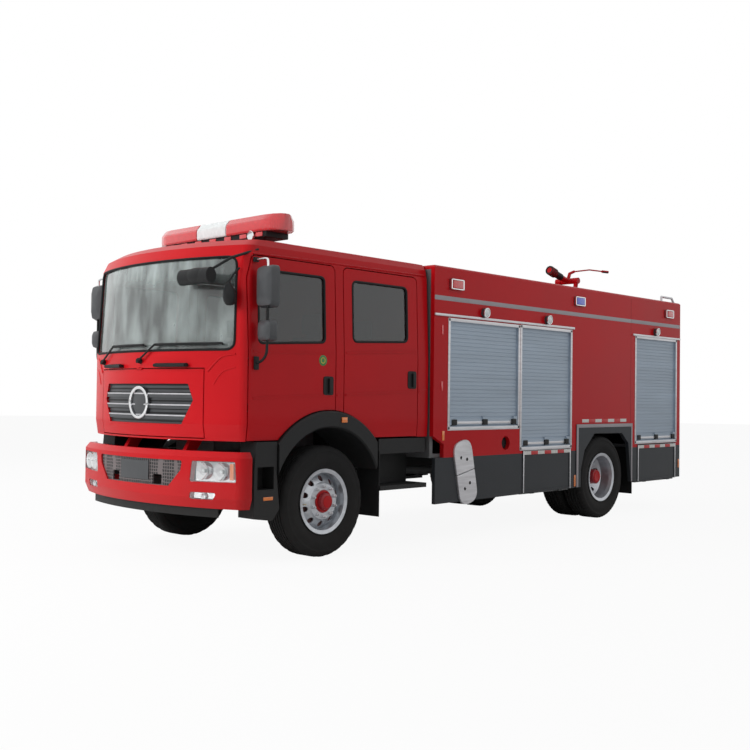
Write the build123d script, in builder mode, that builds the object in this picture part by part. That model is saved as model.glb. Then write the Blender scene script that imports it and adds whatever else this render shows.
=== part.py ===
import os
from math import cos, radians, sin

from build123d import *

os.makedirs("parts", exist_ok=True)

# A fire truck with a crew cab. Millimetres, +X forward, +Y to the truck's left, +Z up.
# The origin is on the ground, under the middle of the truck's overall length.

# Clearances
fit_gap = 0.3
door_gap = 10.0
running_gap = 0.05
flap_gap = 7.0

# Reach of the truck ahead of and behind the front axle, and its wheels
front_reach = 1340.0
rear_reach = 7060.0
front_axle_x = (rear_reach - front_reach) / 2
wheelbase = 4840.0
rear_axle_x = front_axle_x - wheelbase
tyre_radius = 522.0
axle_z = tyre_radius
tyre_half_width = 144.0
tyre_bead_radius = 286.0
rim_lip_radius = 306.0
front_tyre_y = 1014.0
rear_outer_tyre_y = 1094.0
twin_spacing = 322.0
rear_inner_tyre_y = rear_outer_tyre_y - twin_spacing
hub_radius = 108.0
hand_hole_radius = 27.0
hand_hole_circle = 212.0
hand_hole_count = 10

# Axles and steering
kingpin_y = 812.0
kingpin_radius = 26.0
spindle_radius = 42.0
rear_spindle_radius = 62.0
spring_y = 390.0
spring_half_length = 780.0

# Chassis frame
rail_outer_y = 430.0
rail_flange = 80.0
rail_web = 10.0
rail_top_z = 980.0
rail_height = 250.0
rail_bottom_z = rail_top_z - rail_height
rail_front_x = front_axle_x + 1000.0
rail_rear_x = front_axle_x - 6860.0

# Cab
cab_rear_x = front_axle_x - 1430.0
cab_bottom_z = 1105.0
cab_roof_z = 2917.0
cab_half_width = 1193.0
cab_wall = 60.0
cab_floor_z = 1240.0
cab_floor_thick = 60.0
cab_corner_x = front_axle_x + 1010.0
cab_bow = 280.0
cab_corner_radius = 100.0
cab_mount_x = front_axle_x - 1300.0
tilt_pivot_x = front_axle_x + 1150.0
tilt_pivot_z = 880.0
tilt_pin_radius = 25.0
tilt_arm_y = 470.0
glass_depth = 12.0
glass_thick = 6.0

# Front panel that lifts, below the windscreen
hatch_low_z = 1130.0
hatch_high_z = 1738.0
hatch_points = [(-800, hatch_low_z), (-800, hatch_high_z), (800, hatch_high_z), (800, hatch_low_z)]
hatch_thick = 35.0

# Front wheel arch
arch_radius = 850.0
arch_inner_radius = 695.0
arch_cut_radius = arch_radius + door_gap
arch_foot_z = 800.0
arch_foot_x = 640.0
flare_outer_y = 1228.0
liner_radius = cab_floor_z - axle_z - fit_gap
liner_inner_y = 700.0

# Doors, with their windows
front_door_front_x = front_axle_x + 975.0
front_door_rear_x = front_axle_x - 80.0
rear_door_front_x = front_axle_x - 200.0
rear_door_rear_x = front_axle_x - 1263.0
door_bottom_z = 1112.0
door_top_z = 2738.0
door_corner_radius = 55.0
window_top_z = 2622.0
window_corner_radius = 60.0

# Hinges: pins, and the necks that reach round a door's edge to its pin
pin_radius = 5.0
neck_half = 5.0
neck_inner_y = 1108.0
hinge_pocket = 70.0
door_hinge_y = 1180.0
door_hinge_x = (front_door_front_x - 30, rear_door_front_x - 30)
door_hinge_heights = (1400.0, 1800.0)
lug_radius = 9.0
panel_hinge_x = front_axle_x + 1288.0
panel_hinge_z = 1742.0
flap_hinge_y = 1245.0
flap_hinge_z = 415.0

# Body
body_front_x = front_axle_x - 1455.0
body_rear_x = front_axle_x - 6916.0
body_half_width = 1250.0
body_wall = 50.0
body_side_bottom_z = 880.0
body_roof_z = 2896.0
body_roof_thick = 45.0
body_floor_z = 1160.0
body_floor_thick = 40.0
skirt_bottom_z = 400.0
skirt_front_x = front_axle_x - 1490.0
notch_rear_x = front_axle_x - 1629.0
notch_top_z = 1110.0
skirt_thick = 40.0
fender_front_x = front_axle_x - 4194.0
fender_rear_x = front_axle_x - 5558.0
fender_top_z = 1200.0

# Roller shutters: columns are front x, rear x, low z and high z of the opening in the body side.
shutter_openings = [
    (front_axle_x - 1690.0, front_axle_x - 2985.0, 1175.0, 2350.0),
    (front_axle_x - 3000.0, front_axle_x - 4085.0, 925.0, 2355.0),
    (front_axle_x - 5635.0, front_axle_x - 6810.0, 935.0, 2365.0),
]
shutter_frame = 32.0
shutter_recess = 22.0
slat_pitch = 42.0
slat_thick = 14.0
slat_groove = 4.0
lift_bar_height = 95.0

# Fold-down steps below the two low shutters: columns are front x and rear x.
step_flaps = [
    (front_axle_x - 3062.0, front_axle_x - 4062.0),
    (front_axle_x - 5712.0, front_axle_x - 6772.0),
]
flap_low_z = 425.0
flap_high_z = 908.0
flap_thick = 30.0

# Bumper
bumper_half_width = 1262.0
bumper_bow = 255.0
bumper_corner_x = front_axle_x + front_reach - bumper_bow
bumper_rear_x = front_axle_x + 981.0
bumper_bottom_z = 520.0
bumper_top_z = 1015.0
bumper_wall = 45.0
bumper_corner_radius = 110.0
bumper_corner_share = 1.3

# Light bar
light_bar_x = front_axle_x + 325.0
light_bar_half_length = 960.0
light_bar_depth = 340.0
light_bar_low_z = 2992.0
light_bar_high_z = 3215.0

# Mirrors
mirror_y = 1345.0
mirror_rod_x = front_axle_x + 905.0
mirror_rod_radius = 13.0

# Water monitor on the roof
monitor_x = front_axle_x - 5925.0
monitor_pivot_z = 3205.0
monitor_swivel_z = 3010.0
monitor_spigot_radius = 35.0
monitor_trunnion_radius = 22.0


def keep(piece, label):
    """Name a finished piece and write it."""
    piece.part.label = label
    export_step(piece.part, f"parts/{label}.step")


def mirrored(source):
    """The same piece on the truck's other side."""
    with BuildPart() as other:
        mirror(source.part, about=Plane.XZ)
    return other


def block(low, high, mode=Mode.ADD):
    """A box between two corners."""
    middle = [(a + b) / 2 for a, b in zip(low, high)]
    size = [b - a for a, b in zip(low, high)]
    with Locations(tuple(middle)):
        Box(*size, mode=mode)


def rod(start, end, radius, mode=Mode.ADD):
    """A round bar from one point to another."""
    line = Vector(*end) - Vector(*start)
    with Locations(Plane(origin=start, z_dir=line)):
        Cylinder(radius, line.length, align=(Align.CENTER, Align.CENTER, Align.MIN), mode=mode)


# Cab form: columns are height, half width, corner x, forward bow.
cab_sections = [
    (cab_bottom_z, cab_half_width - 8, cab_corner_x - 20, cab_bow),
    (1250.0, cab_half_width, cab_corner_x, cab_bow),
    (1900.0, cab_half_width, cab_corner_x, cab_bow - 5),
    (2740.0, cab_half_width - 32, cab_corner_x - 35, cab_bow - 25),
    (2835.0, cab_half_width - 52, cab_corner_x - 75, cab_bow - 30),
    (2895.0, cab_half_width - 95, cab_corner_x - 170, cab_bow - 40),
    (cab_roof_z, cab_half_width - 190, cab_corner_x - 330, cab_bow - 60),
]
roof_shrink = 0.6


def bowed_face(plane, half_width, corner_x, bow, rear_x, radius):
    """A plan outline with a bowed front and rounded front corners."""
    with BuildSketch(plane) as outline:
        with BuildLine():
            front = ThreePointArc((corner_x, -half_width), (corner_x + bow, 0), (corner_x, half_width))
            Polyline(front @ 1, (rear_x, half_width), (rear_x, -half_width), front @ 0)
        make_face()
        fillet(outline.vertices().group_by(Axis.X)[-1], radius)
    return outline.sketch


def cab_form(inset, low_z, high_z):
    """The cab's outer form, moved inwards by inset, between two heights."""
    with BuildPart() as form:
        for row, (height, half, corner_x, bow) in enumerate(cab_sections):
            z = low_z if row == 0 else min(height, high_z - roof_shrink * (cab_roof_z - height))
            with BuildSketch(Plane.XY.offset(z)):
                add(bowed_face(Plane.XY, half - inset, corner_x - inset, bow, cab_rear_x + inset,
                               max(cab_corner_radius - inset, 25)))
        loft(ruled=True)
    return form.part


def flank_form(inset):
    """A block longer than the cab, whose flanks are the cab's flanks moved inwards by inset."""
    with BuildPart() as form:
        for row, (height, half, corner_x, bow) in enumerate(cab_sections):
            with BuildSketch(Plane.XY.offset(height if row else cab_bottom_z - 50)):
                with Locations((front_axle_x, 0)):
                    Rectangle(3600, 2 * (half - inset))
        loft(ruled=True)
    return form.part


def bumper_form(inset, low_z, high_z):
    """The bumper's outer form, moved inwards by inset. Columns are height and step inwards."""
    rear_x = bumper_rear_x - (1 if inset else 0)
    with BuildPart() as form:
        for height, step in ((low_z, 28), (bumper_bottom_z + 90, 0), (bumper_top_z - 50, 0), (high_z, 30)):
            corner_x = bumper_corner_x - inset - step
            radius = min(bumper_corner_radius - inset / 2, bumper_corner_share * (corner_x - rear_x))
            with BuildSketch(Plane.XY.offset(height)):
                add(bowed_face(Plane.XY, bumper_half_width - inset - step, corner_x, bumper_bow, rear_x, radius))
        loft(ruled=True)
    return form.part


side_plane = Plane.XZ.offset(-1400)
side_depth = 400.0
front_plane = Plane.YZ.offset(front_axle_x + 1500)
front_depth = -850.0


def outline_on(plane, points, radii, grow=0.0, arch=0.0):
    """A closed outline with one corner radius for each point, clear of the wheel arch."""
    with BuildSketch(plane) as outline:
        with BuildLine():
            FilletPolyline(*points, radius=radii, close=True)
        make_face()
        if grow:
            offset(amount=grow, kind=Kind.INTERSECTION)
        if arch:
            with Locations((front_axle_x, axle_z)):
                Circle(arch, mode=Mode.SUBTRACT)
    return outline.sketch


def side_outline(points, radii, grow=0.0, arch=0.0):
    """An outline seen from the truck's left."""
    return outline_on(side_plane, points, radii, grow, arch)


def front_outline(points, radii, grow=0.0):
    """An outline seen from the front."""
    return outline_on(front_plane, points, radii, grow)


outer_form = cab_form(0, cab_bottom_z, cab_roof_z)
inner_form = cab_form(cab_wall, cab_bottom_z - 40, cab_roof_z - cab_wall)
door_core = flank_form(cab_wall)
door_clear_core = flank_form(cab_wall + door_gap)

front_door_points = [
    (front_door_front_x, door_bottom_z),
    (front_door_front_x, 2540),
    (front_door_front_x - 45, door_top_z),
    (front_door_rear_x, door_top_z),
    (front_door_rear_x, door_bottom_z),
]
rear_door_points = [
    (rear_door_front_x, door_bottom_z),
    (rear_door_front_x, door_top_z),
    (rear_door_rear_x, door_top_z),
    (rear_door_rear_x, door_bottom_z),
]
front_window_points = [
    (front_axle_x + 865, 1968),
    (front_axle_x + 865, 2520),
    (front_axle_x + 840, window_top_z),
    (front_axle_x + 55, window_top_z),
    (front_axle_x + 55, 2010),
]
rear_window_points = [
    (front_axle_x - 320, 2035),
    (front_axle_x - 320, window_top_z),
    (front_axle_x - 1110, window_top_z),
    (front_axle_x - 1110, 2070),
]
windscreen_points = [(-1090, 1907), (-1062, 2727), (1062, 2727), (1090, 1907)]
door_rows = [
    ("front", front_door_points, [0, 0, 40, door_corner_radius, 0], front_window_points),
    ("rear", rear_door_points, [0, door_corner_radius, door_corner_radius, 0], rear_window_points),
]


def window_radii(points):
    """Small radii at a window's raked corner and full ones elsewhere."""
    return [window_corner_radius if len(points) == 4 or i not in (1, 2) else 30 for i in range(len(points))]


def make_cab_shell():
    """The cab's walls, roof and floor, with openings for doors, windscreen and front panel."""
    with BuildPart() as floor:
        add(inner_form)
        block((cab_rear_x - 100, -1300, cab_floor_z), (cab_corner_x + 400, 1300, cab_floor_z + cab_floor_thick),
              mode=Mode.INTERSECT)
    with BuildPart() as door_space:
        for name, points, radii, window in door_rows:
            extrude(side_outline(points, radii, grow=door_gap), amount=side_depth)
        add(door_clear_core, mode=Mode.SUBTRACT)
        mirror(about=Plane.XZ)
    with BuildPart() as panel_space:
        extrude(front_outline(hatch_points, [0, 0, 0, 0], grow=door_gap), amount=front_depth)
        add(cab_form(hatch_thick + door_gap, cab_bottom_z - 40, cab_roof_z - hatch_thick), mode=Mode.SUBTRACT)
    with BuildPart() as shell:
        add(outer_form)
        add(inner_form, mode=Mode.SUBTRACT)
        add(floor.part)
        for side in (1, -1):
            foot_y = sorted((side * 1040, side * (cab_half_width - cab_wall + 8)))
            block((rear_door_front_x + door_gap, foot_y[0], cab_floor_z + 20),
                  (front_door_rear_x - door_gap, foot_y[1], 1520))
            arm_y = side * tilt_arm_y
            block((front_axle_x + 850, arm_y - 25, cab_floor_z - 110),
                  (front_axle_x + 1010, arm_y + 25, cab_floor_z + 10))
        add(door_space.part, mode=Mode.SUBTRACT)
        add(panel_space.part, mode=Mode.SUBTRACT)
        extrude(front_outline(windscreen_points, [90, 80, 80, 90]), amount=front_depth, mode=Mode.SUBTRACT)
        for side in (1, -1):
            rod((front_axle_x, side * (cab_half_width - cab_wall - 15), axle_z),
                (front_axle_x, side * 1400, axle_z), arch_cut_radius, mode=Mode.SUBTRACT)
            with BuildSketch(Plane.XZ.offset(-side * tilt_arm_y - 25)):
                with BuildLine():
                    Polyline((tilt_pivot_x - 40, tilt_pivot_z - 20), (tilt_pivot_x + 30, tilt_pivot_z + 25),
                             (front_axle_x + 1010, cab_floor_z - 60), (front_axle_x + 860, cab_floor_z - 60),
                             close=True)
                make_face()
                with Locations((tilt_pivot_x, tilt_pivot_z)):
                    Circle(50)
                    Circle(tilt_pin_radius + running_gap, mode=Mode.SUBTRACT)
            extrude(amount=50)
        for side in (1, -1):
            for x in door_hinge_x:
                for z in door_hinge_heights:
                    for low_x, high_x, high_y in ((x - neck_half, x + neck_half, door_hinge_y),
                                                  (x - neck_half, x + 80, neck_inner_y + 12),
                                                  (x + 45, x + 80, neck_inner_y + 32)):
                        y = sorted((side * neck_inner_y, side * high_y))
                        block((low_x, y[0], z - 25), (high_x, y[1], z + 25))
                    rod((x, side * door_hinge_y, z - 50), (x, side * door_hinge_y, z + 50), pin_radius)
        rod((panel_hinge_x, -17, panel_hinge_z), (panel_hinge_x, 17, panel_hinge_z), lug_radius + 5,
            mode=Mode.SUBTRACT)
        for y in (-37, 17):
            rod((panel_hinge_x, y, panel_hinge_z), (panel_hinge_x, y + 20, panel_hinge_z), lug_radius)
            block((panel_hinge_x - 20, y, panel_hinge_z), (panel_hinge_x, y + 20, panel_hinge_z + 14))
        rod((panel_hinge_x, -37, panel_hinge_z), (panel_hinge_x, 37, panel_hinge_z), pin_radius)
    return shell


def make_door(points, radii, window, hinge_x):
    """One left door: the full thickness of the cab's flank, with its window cut and hinge pockets."""
    with BuildPart() as door:
        add(outer_form)
        add(door_core, mode=Mode.SUBTRACT)
        extrude(side_outline(points, radii, arch=arch_cut_radius), amount=side_depth, mode=Mode.INTERSECT)
        extrude(side_outline(window, window_radii(window)), amount=side_depth, mode=Mode.SUBTRACT)
        for z in door_hinge_heights:
            block((hinge_x - 2 * neck_half, 1000, z - hinge_pocket / 2),
                  (hinge_x + 40, door_hinge_y + neck_half + 1, z + hinge_pocket / 2), mode=Mode.SUBTRACT)
            rod((hinge_x, door_hinge_y, z - 55), (hinge_x, door_hinge_y, z + 55), pin_radius + running_gap,
                mode=Mode.SUBTRACT)
    return door


def make_door_glass(window):
    """The pane that fills a left door's window."""
    with BuildPart() as pane:
        extrude(side_outline(window, window_radii(window), grow=-fit_gap), amount=side_depth)
        add(flank_form(glass_depth + glass_thick), mode=Mode.SUBTRACT)
        add(flank_form(glass_depth), mode=Mode.INTERSECT)
    return pane


def make_windscreen():
    """The bowed windscreen pane."""
    with BuildPart() as pane:
        add(cab_form(glass_depth, cab_bottom_z, cab_roof_z - glass_depth))
        add(cab_form(glass_depth + glass_thick, cab_bottom_z - 1, cab_roof_z - glass_depth - glass_thick),
            mode=Mode.SUBTRACT)
        extrude(front_outline(windscreen_points, [90, 80, 80, 90], grow=-fit_gap), amount=front_depth,
                mode=Mode.INTERSECT)
    return pane


# Front panel's grille: a six-sided opening with cut lower corners.
grille_slat_length = 1500.0
grille_points = [(-696, 1460), (-636, 1606), (636, 1606), (696, 1460), (570, 1244), (-570, 1244)]
grille_slat_heights = (1305.0, 1400.0, 1500.0)
grille_slat_height = 42.0
emblem_ring_radius = 150.0
emblem_ring_z = 1432.0


def make_front_panel():
    """The lift-up panel of the cab's front, with the grille opening."""
    with BuildPart() as panel:
        extrude(front_outline(hatch_points, [0, 0, 0, 0]), amount=front_depth)
        add(outer_form, mode=Mode.INTERSECT)
        add(cab_form(hatch_thick, cab_bottom_z - 40, cab_roof_z - hatch_thick), mode=Mode.SUBTRACT)
        extrude(front_outline(grille_points, [0] * 6), amount=front_depth, mode=Mode.SUBTRACT)
        rod((panel_hinge_x, -42, panel_hinge_z), (panel_hinge_x, 42, panel_hinge_z), lug_radius + 5,
            mode=Mode.SUBTRACT)
        rod((panel_hinge_x, -12, panel_hinge_z), (panel_hinge_x, 12, panel_hinge_z), lug_radius)
        block((panel_hinge_x - 20, -12, panel_hinge_z - 20), (panel_hinge_x, 12, panel_hinge_z))
        rod((panel_hinge_x, -45, panel_hinge_z), (panel_hinge_x, 45, panel_hinge_z), pin_radius + running_gap,
            mode=Mode.SUBTRACT)
    return panel


def make_grille():
    """The grille: a recessed back plate with three broad slats and a plain round ring."""
    with BuildPart() as back:
        add(cab_form(20, cab_bottom_z, cab_roof_z - 20))
        add(cab_form(32, cab_bottom_z - 1, cab_roof_z - 32), mode=Mode.SUBTRACT)
    with BuildPart() as slats:
        with BuildSketch(front_plane):
            for height in grille_slat_heights:
                with Locations((0, height)):
                    Rectangle(grille_slat_length, grille_slat_height)
        extrude(amount=front_depth)
        add(cab_form(4, cab_bottom_z, cab_roof_z - 4), mode=Mode.INTERSECT)
        add(cab_form(25, cab_bottom_z - 1, cab_roof_z - 25), mode=Mode.SUBTRACT)
    with BuildPart() as ring:
        with BuildSketch(front_plane):
            with Locations((0, emblem_ring_z)):
                Circle(emblem_ring_radius)
                Circle(emblem_ring_radius - 28, mode=Mode.SUBTRACT)
        extrude(amount=front_depth)
        add(cab_form(-14, cab_bottom_z, cab_roof_z), mode=Mode.INTERSECT)
        add(cab_form(25, cab_bottom_z - 1, cab_roof_z - 25), mode=Mode.SUBTRACT)
    with BuildPart() as grille:
        add(back.part)
        add(slats.part)
        extrude(front_outline(grille_points, [0] * 6, grow=-fit_gap), amount=front_depth,
                mode=Mode.INTERSECT)
        add(ring.part)
    return grille


def make_flares():
    """Black wheel-arch flares under the doors, with their liners over the front wheels."""
    with BuildPart() as flare:
        with BuildSketch(Plane.XZ.offset(-flare_outer_y)) as band:
            with Locations((front_axle_x, axle_z)):
                Circle(arch_radius)
                Circle(arch_inner_radius, mode=Mode.SUBTRACT)
            with Locations((front_axle_x, arch_foot_z)):
                Rectangle(2 * arch_foot_x, 1000, align=(Align.CENTER, Align.MIN), mode=Mode.INTERSECT)
        extrude(amount=flare_outer_y - cab_half_width + cab_wall - 1)
        chamfer(flare.faces().sort_by(Axis.Y)[-1].edges().filter_by(GeomType.CIRCLE), 14)
        with BuildSketch(Plane.XZ.offset(-flare_outer_y + 20)):
            with Locations((front_axle_x, axle_z)):
                Circle(liner_radius)
                Circle(arch_inner_radius, mode=Mode.SUBTRACT)
            with Locations((front_axle_x, arch_foot_z)):
                Rectangle(2 * arch_foot_x, 1000, align=(Align.CENTER, Align.MIN), mode=Mode.INTERSECT)
        extrude(amount=flare_outer_y - 20 - liner_inner_y)
        mirror(about=Plane.XZ)
    return flare


# Inside of the cab
seat_base_z = cab_floor_z + cab_floor_thick
seat_cushion_z = seat_base_z + 350
seat_back_high_z = 2330.0
front_seat_x = front_axle_x - 60.0
front_seat_y = 600.0
rear_seat_x = front_axle_x - 1040.0


def make_seats():
    """Two front seats and a rear bench, each a pedestal, a cushion, a back and head rests."""
    rows = [
        (front_seat_x, front_seat_y, 250.0, 500.0),
        (front_seat_x, -front_seat_y, 250.0, 500.0),
        (rear_seat_x, 0.0, 1000.0, 460.0),
    ]
    with BuildPart() as seats:
        for x, y, half_width, depth in rows:
            block((x - depth / 2 + 60, y - half_width + 50, seat_base_z),
                  (x + depth / 2 - 60, y + half_width - 50, seat_cushion_z))
            block((x - depth / 2, y - half_width, seat_cushion_z),
                  (x + depth / 2, y + half_width, seat_cushion_z + 110))
            block((x - depth / 2 - 70, y - half_width, seat_cushion_z + 30),
                  (x - depth / 2 + 40, y + half_width, seat_back_high_z))
    return seats


def make_dashboard():
    """The dashboard across the cab, with the steering column and wheel on the right."""
    with BuildPart() as dash:
        with BuildSketch(Plane.XZ.offset(-1040)):
            with BuildLine():
                FilletPolyline((cab_corner_x - 60, seat_base_z), (cab_corner_x - 60, 1870),
                               (cab_corner_x - 260, 1850), (cab_corner_x - 400, 1740),
                               (cab_corner_x - 330, seat_base_z + 250), (cab_corner_x - 160, seat_base_z),
                               radius=[0, 20, 40, 50, 30, 0], close=True)
            make_face()
        extrude(amount=2080)
        hub = Vector(cab_corner_x - 560, -front_seat_y, 1860)
        rod((cab_corner_x - 250, -front_seat_y, 1560), tuple(hub), 35)
        wheel_plane = Plane(origin=hub, z_dir=Vector(-310, 0, 300))
        with Locations(wheel_plane):
            Torus(215, 16)
            for angle in (0, 120, 240):
                with Locations(Rotation(0, 0, angle)):
                    Box(215, 34, 14, align=(Align.MIN, Align.CENTER, Align.CENTER))
    return dash


def make_light_bar():
    """The light bar across the roof, with two feet and rounded ends."""
    with BuildPart() as bar:
        with BuildSketch(Plane.XY.offset(light_bar_low_z + 60)):
            with Locations((light_bar_x, 0)):
                SlotOverall(2 * light_bar_half_length, light_bar_depth, rotation=90)
        extrude(amount=light_bar_high_z - light_bar_low_z - 60)
        chamfer(bar.faces().sort_by(Axis.Z)[-1].edges(), 55, 45)
        with BuildSketch(Plane.XY.offset(light_bar_low_z)):
            with Locations((light_bar_x, 0)):
                SlotOverall(2 * light_bar_half_length - 60, light_bar_depth - 60, rotation=90)
        extrude(amount=60)
        for y in (-520, 520):
            block((light_bar_x - 90, y - 40, cab_roof_z), (light_bar_x + 90, y + 40, light_bar_low_z))
    return bar


wiper_pivot_z = 1812.0
grab_handle_z = 1772.0
# Wipers: columns are pivot y, blade's near end y, blade's far end y.
wiper_rows = [(-770.0, -470.0, 90.0), (10.0, 250.0, 1000.0)]
# Grab handles across the front: columns are low y and high y.
handle_rows = [(-640.0, -290.0), (260.0, 640.0)]
look_down_mirror = (front_axle_x + 1262, 800.0, 2545.0)


def front_face_x(y, bow=cab_bow, corner_x=cab_corner_x, half=cab_half_width):
    """How far forward the bowed front stands at a distance from the middle."""
    radius = (half ** 2 + bow ** 2) / (2 * bow)
    return corner_x + bow - radius + (radius ** 2 - y ** 2) ** 0.5


def make_cab_trim():
    """Wipers, grab handles below the windscreen and the mirror that looks down over the front."""
    with BuildPart() as trim:
        for pivot_y, low_y, high_y in wiper_rows:
            x = front_face_x(pivot_y) - 5
            rod((x, pivot_y, wiper_pivot_z), (x + 45, pivot_y, wiper_pivot_z), 18)
            middle_y = (low_y + high_y) / 2
            blade_z = 1962.0
            rod((x + 38, pivot_y, wiper_pivot_z), (front_face_x(low_y) + 26, low_y, blade_z), 9)
            for start, end in ((low_y, middle_y), (middle_y, high_y)):
                rod((front_face_x(start) + 24, start, blade_z), (front_face_x(end) + 24, end, blade_z), 10)
        for low_y, high_y in handle_rows:
            for y in (low_y + 20, high_y - 20):
                block((front_face_x(y) - 12, y - 14, grab_handle_z - 14),
                      (front_face_x(y) + 42, y + 14, grab_handle_z + 14))
            rod((front_face_x(low_y) + 36, low_y, grab_handle_z), (front_face_x(high_y) + 36, high_y, grab_handle_z), 15)
        x, y, z = look_down_mirror
        elbow = (front_axle_x + 1130, 1120, 2700)
        foot = (front_axle_x + 850, cab_half_width - 50, 2800)
        rod(foot, elbow, 12)
        rod(elbow, (x, y + 120, z + 20), 12)
        with Locations(elbow):
            Sphere(12)
        with BuildSketch(Plane.XZ.offset(-y - 210)):
            with Locations((x, z)):
                Ellipse(55, 70)
        extrude(amount=420, taper=0)
    with BuildPart() as clipped:
        add(trim.part)
        add(outer_form, mode=Mode.SUBTRACT)
    return clipped


def make_mirror():
    """A left door's mirror: two brackets, an upright rod, a large head and a small wide-angle head."""
    top_z = 2700.0
    foot_z = 1790.0
    with BuildPart() as glass_set:
        rod((mirror_rod_x, mirror_y, foot_z + 70), (mirror_rod_x, mirror_y, top_z), mirror_rod_radius)
        rod((mirror_rod_x, mirror_y, foot_z + 70), (mirror_rod_x, cab_half_width + 14, foot_z), mirror_rod_radius)
        rod((mirror_rod_x, mirror_y, top_z), (mirror_rod_x, cab_half_width - 16, top_z), mirror_rod_radius)
        with Locations((mirror_rod_x, mirror_y, top_z), (mirror_rod_x, mirror_y, foot_z + 70)):
            Sphere(mirror_rod_radius)
        block((mirror_rod_x - 25, cab_half_width + fit_gap, foot_z - 60),
              (mirror_rod_x + 25, cab_half_width + 28, foot_z + 60))
        block((mirror_rod_x - 30, cab_half_width - 29, top_z - 25),
              (mirror_rod_x + 25, cab_half_width + 5, top_z + 25))
        block((mirror_rod_x - 45, mirror_y - 95, 2290), (mirror_rod_x + 45, mirror_y + 95, 2640))
        block((mirror_rod_x - 40, mirror_y - 85, 1985), (mirror_rod_x + 40, mirror_y + 85, 2120))
    return glass_set


# Chassis
front_crossmember_x = (front_axle_x + 900.0, front_axle_x + 980.0)
front_crossmember_half = 680.0
crossmember_x = [front_axle_x + 760, front_axle_x - 1500, front_axle_x - 2800, front_axle_x - 4100,
                 front_axle_x - 5600, front_axle_x - 6820]


def make_frame():
    """Two channel rails with cross members, the cab's tilt brackets and its rear rest."""
    with BuildPart() as frame:
        block((rail_rear_x, rail_outer_y - rail_flange, rail_bottom_z), (rail_front_x, rail_outer_y, rail_top_z))
        block((rail_rear_x - 1, rail_outer_y - rail_flange - 1, rail_bottom_z + rail_web),
              (rail_front_x + 1, rail_outer_y - rail_web, rail_top_z - rail_web), mode=Mode.SUBTRACT)
        block((rail_front_x - 240, rail_outer_y - rail_web - 60, rail_bottom_z),
              (tilt_pivot_x - 60, rail_outer_y, tilt_pivot_z + 60))
        rod((tilt_pivot_x, rail_outer_y - 70, tilt_pivot_z), (tilt_pivot_x, rail_outer_y, tilt_pivot_z), 60)
        block((tilt_pivot_x - 90, rail_outer_y - 70, tilt_pivot_z - 60),
              (tilt_pivot_x, rail_outer_y, tilt_pivot_z + 60))
        rod((tilt_pivot_x, rail_outer_y - 70, tilt_pivot_z), (tilt_pivot_x, tilt_arm_y + 45, tilt_pivot_z),
            tilt_pin_radius)
        block((cab_mount_x - 40, 250, rail_top_z - rail_web), (cab_mount_x + 40, rail_outer_y, cab_floor_z - fit_gap))
        mirror(about=Plane.XZ)
        for x in crossmember_x:
            block((x - 40, -rail_outer_y + rail_web, rail_bottom_z + 60),
                  (x + 40, rail_outer_y - rail_web, rail_bottom_z + 160))
        block((cab_mount_x - 40, -260, cab_floor_z - 90), (cab_mount_x + 40, 260, cab_floor_z - fit_gap))
        block((front_crossmember_x[0], -front_crossmember_half, rail_bottom_z - 80),
              (front_crossmember_x[1], front_crossmember_half, rail_bottom_z))
    return frame


def make_springs(x, half_length, low_z):
    """A pair of leaf springs on hangers that reach up to the rails."""
    eye_z = rail_bottom_z - 45
    sag = eye_z - low_z - 35
    for side in (1, -1):
        with BuildSketch(Plane.XZ.offset(-side * spring_y - 40)) as leaves:
            with BuildLine():
                top = ThreePointArc((x - half_length, eye_z), (x, eye_z - sag), (x + half_length, eye_z))
                low = ThreePointArc((x - half_length, eye_z - 20), (x, low_z - 10), (x + half_length, eye_z - 20))
                Line(top @ 0, low @ 0)
                Line(top @ 1, low @ 1)
            make_face()
        extrude(leaves.sketch, amount=80)
        for end in (-half_length, half_length):
            block((x + end - 30, side * spring_y - 40, eye_z - 40), (x + end + 30, side * spring_y + 40, rail_bottom_z))


front_beam_z = 470.0
front_beam_height = 90.0
knuckle_gap = 6.0
knuckle_eye_z = 75.0


def make_front_axle():
    """A forged beam between the kingpins, hung on leaf springs."""
    with BuildPart() as axle:
        block((front_axle_x - 45, -kingpin_y + 90, front_beam_z - 45), (front_axle_x + 45, kingpin_y - 90, front_beam_z + 45))
        for side in (1, -1):
            rod((front_axle_x, side * kingpin_y, axle_z - 72), (front_axle_x, side * kingpin_y, axle_z + 72), 48)
            block((front_axle_x - 40, min(side * 700, side * kingpin_y), axle_z - 72),
                  (front_axle_x + 40, max(side * 700, side * kingpin_y), axle_z + 50))
            rod((front_axle_x, side * kingpin_y, axle_z - 150), (front_axle_x, side * kingpin_y, axle_z + 150),
                kingpin_radius)
            block((front_axle_x - 70, side * spring_y - 55, front_beam_z + 30),
                  (front_axle_x + 70, side * spring_y + 55, 600))
        make_springs(front_axle_x, spring_half_length, 590)
    return axle


def make_knuckle():
    """The left steering knuckle: a fork round the kingpin's ends, and the wheel spindle."""
    low_eye = axle_z - 72 - knuckle_gap
    high_eye = axle_z + 72 + knuckle_gap
    with BuildPart() as knuckle:
        for low, high in ((low_eye - 50, low_eye), (high_eye, high_eye + 50)):
            rod((front_axle_x, kingpin_y, low), (front_axle_x, kingpin_y, high), 50)
            block((front_axle_x - 45, kingpin_y, low), (front_axle_x + 45, kingpin_y + 78, high))
        block((front_axle_x - 45, kingpin_y + 58, low_eye - 20), (front_axle_x + 45, kingpin_y + 78, high_eye + 20))
        rod((front_axle_x, kingpin_y + 60, axle_z), (front_axle_x, front_tyre_y + 60, axle_z), spindle_radius)
        rod((front_axle_x, kingpin_y, low_eye - 60), (front_axle_x, kingpin_y, high_eye + 60),
            kingpin_radius + running_gap, mode=Mode.SUBTRACT)
    return knuckle


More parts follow.
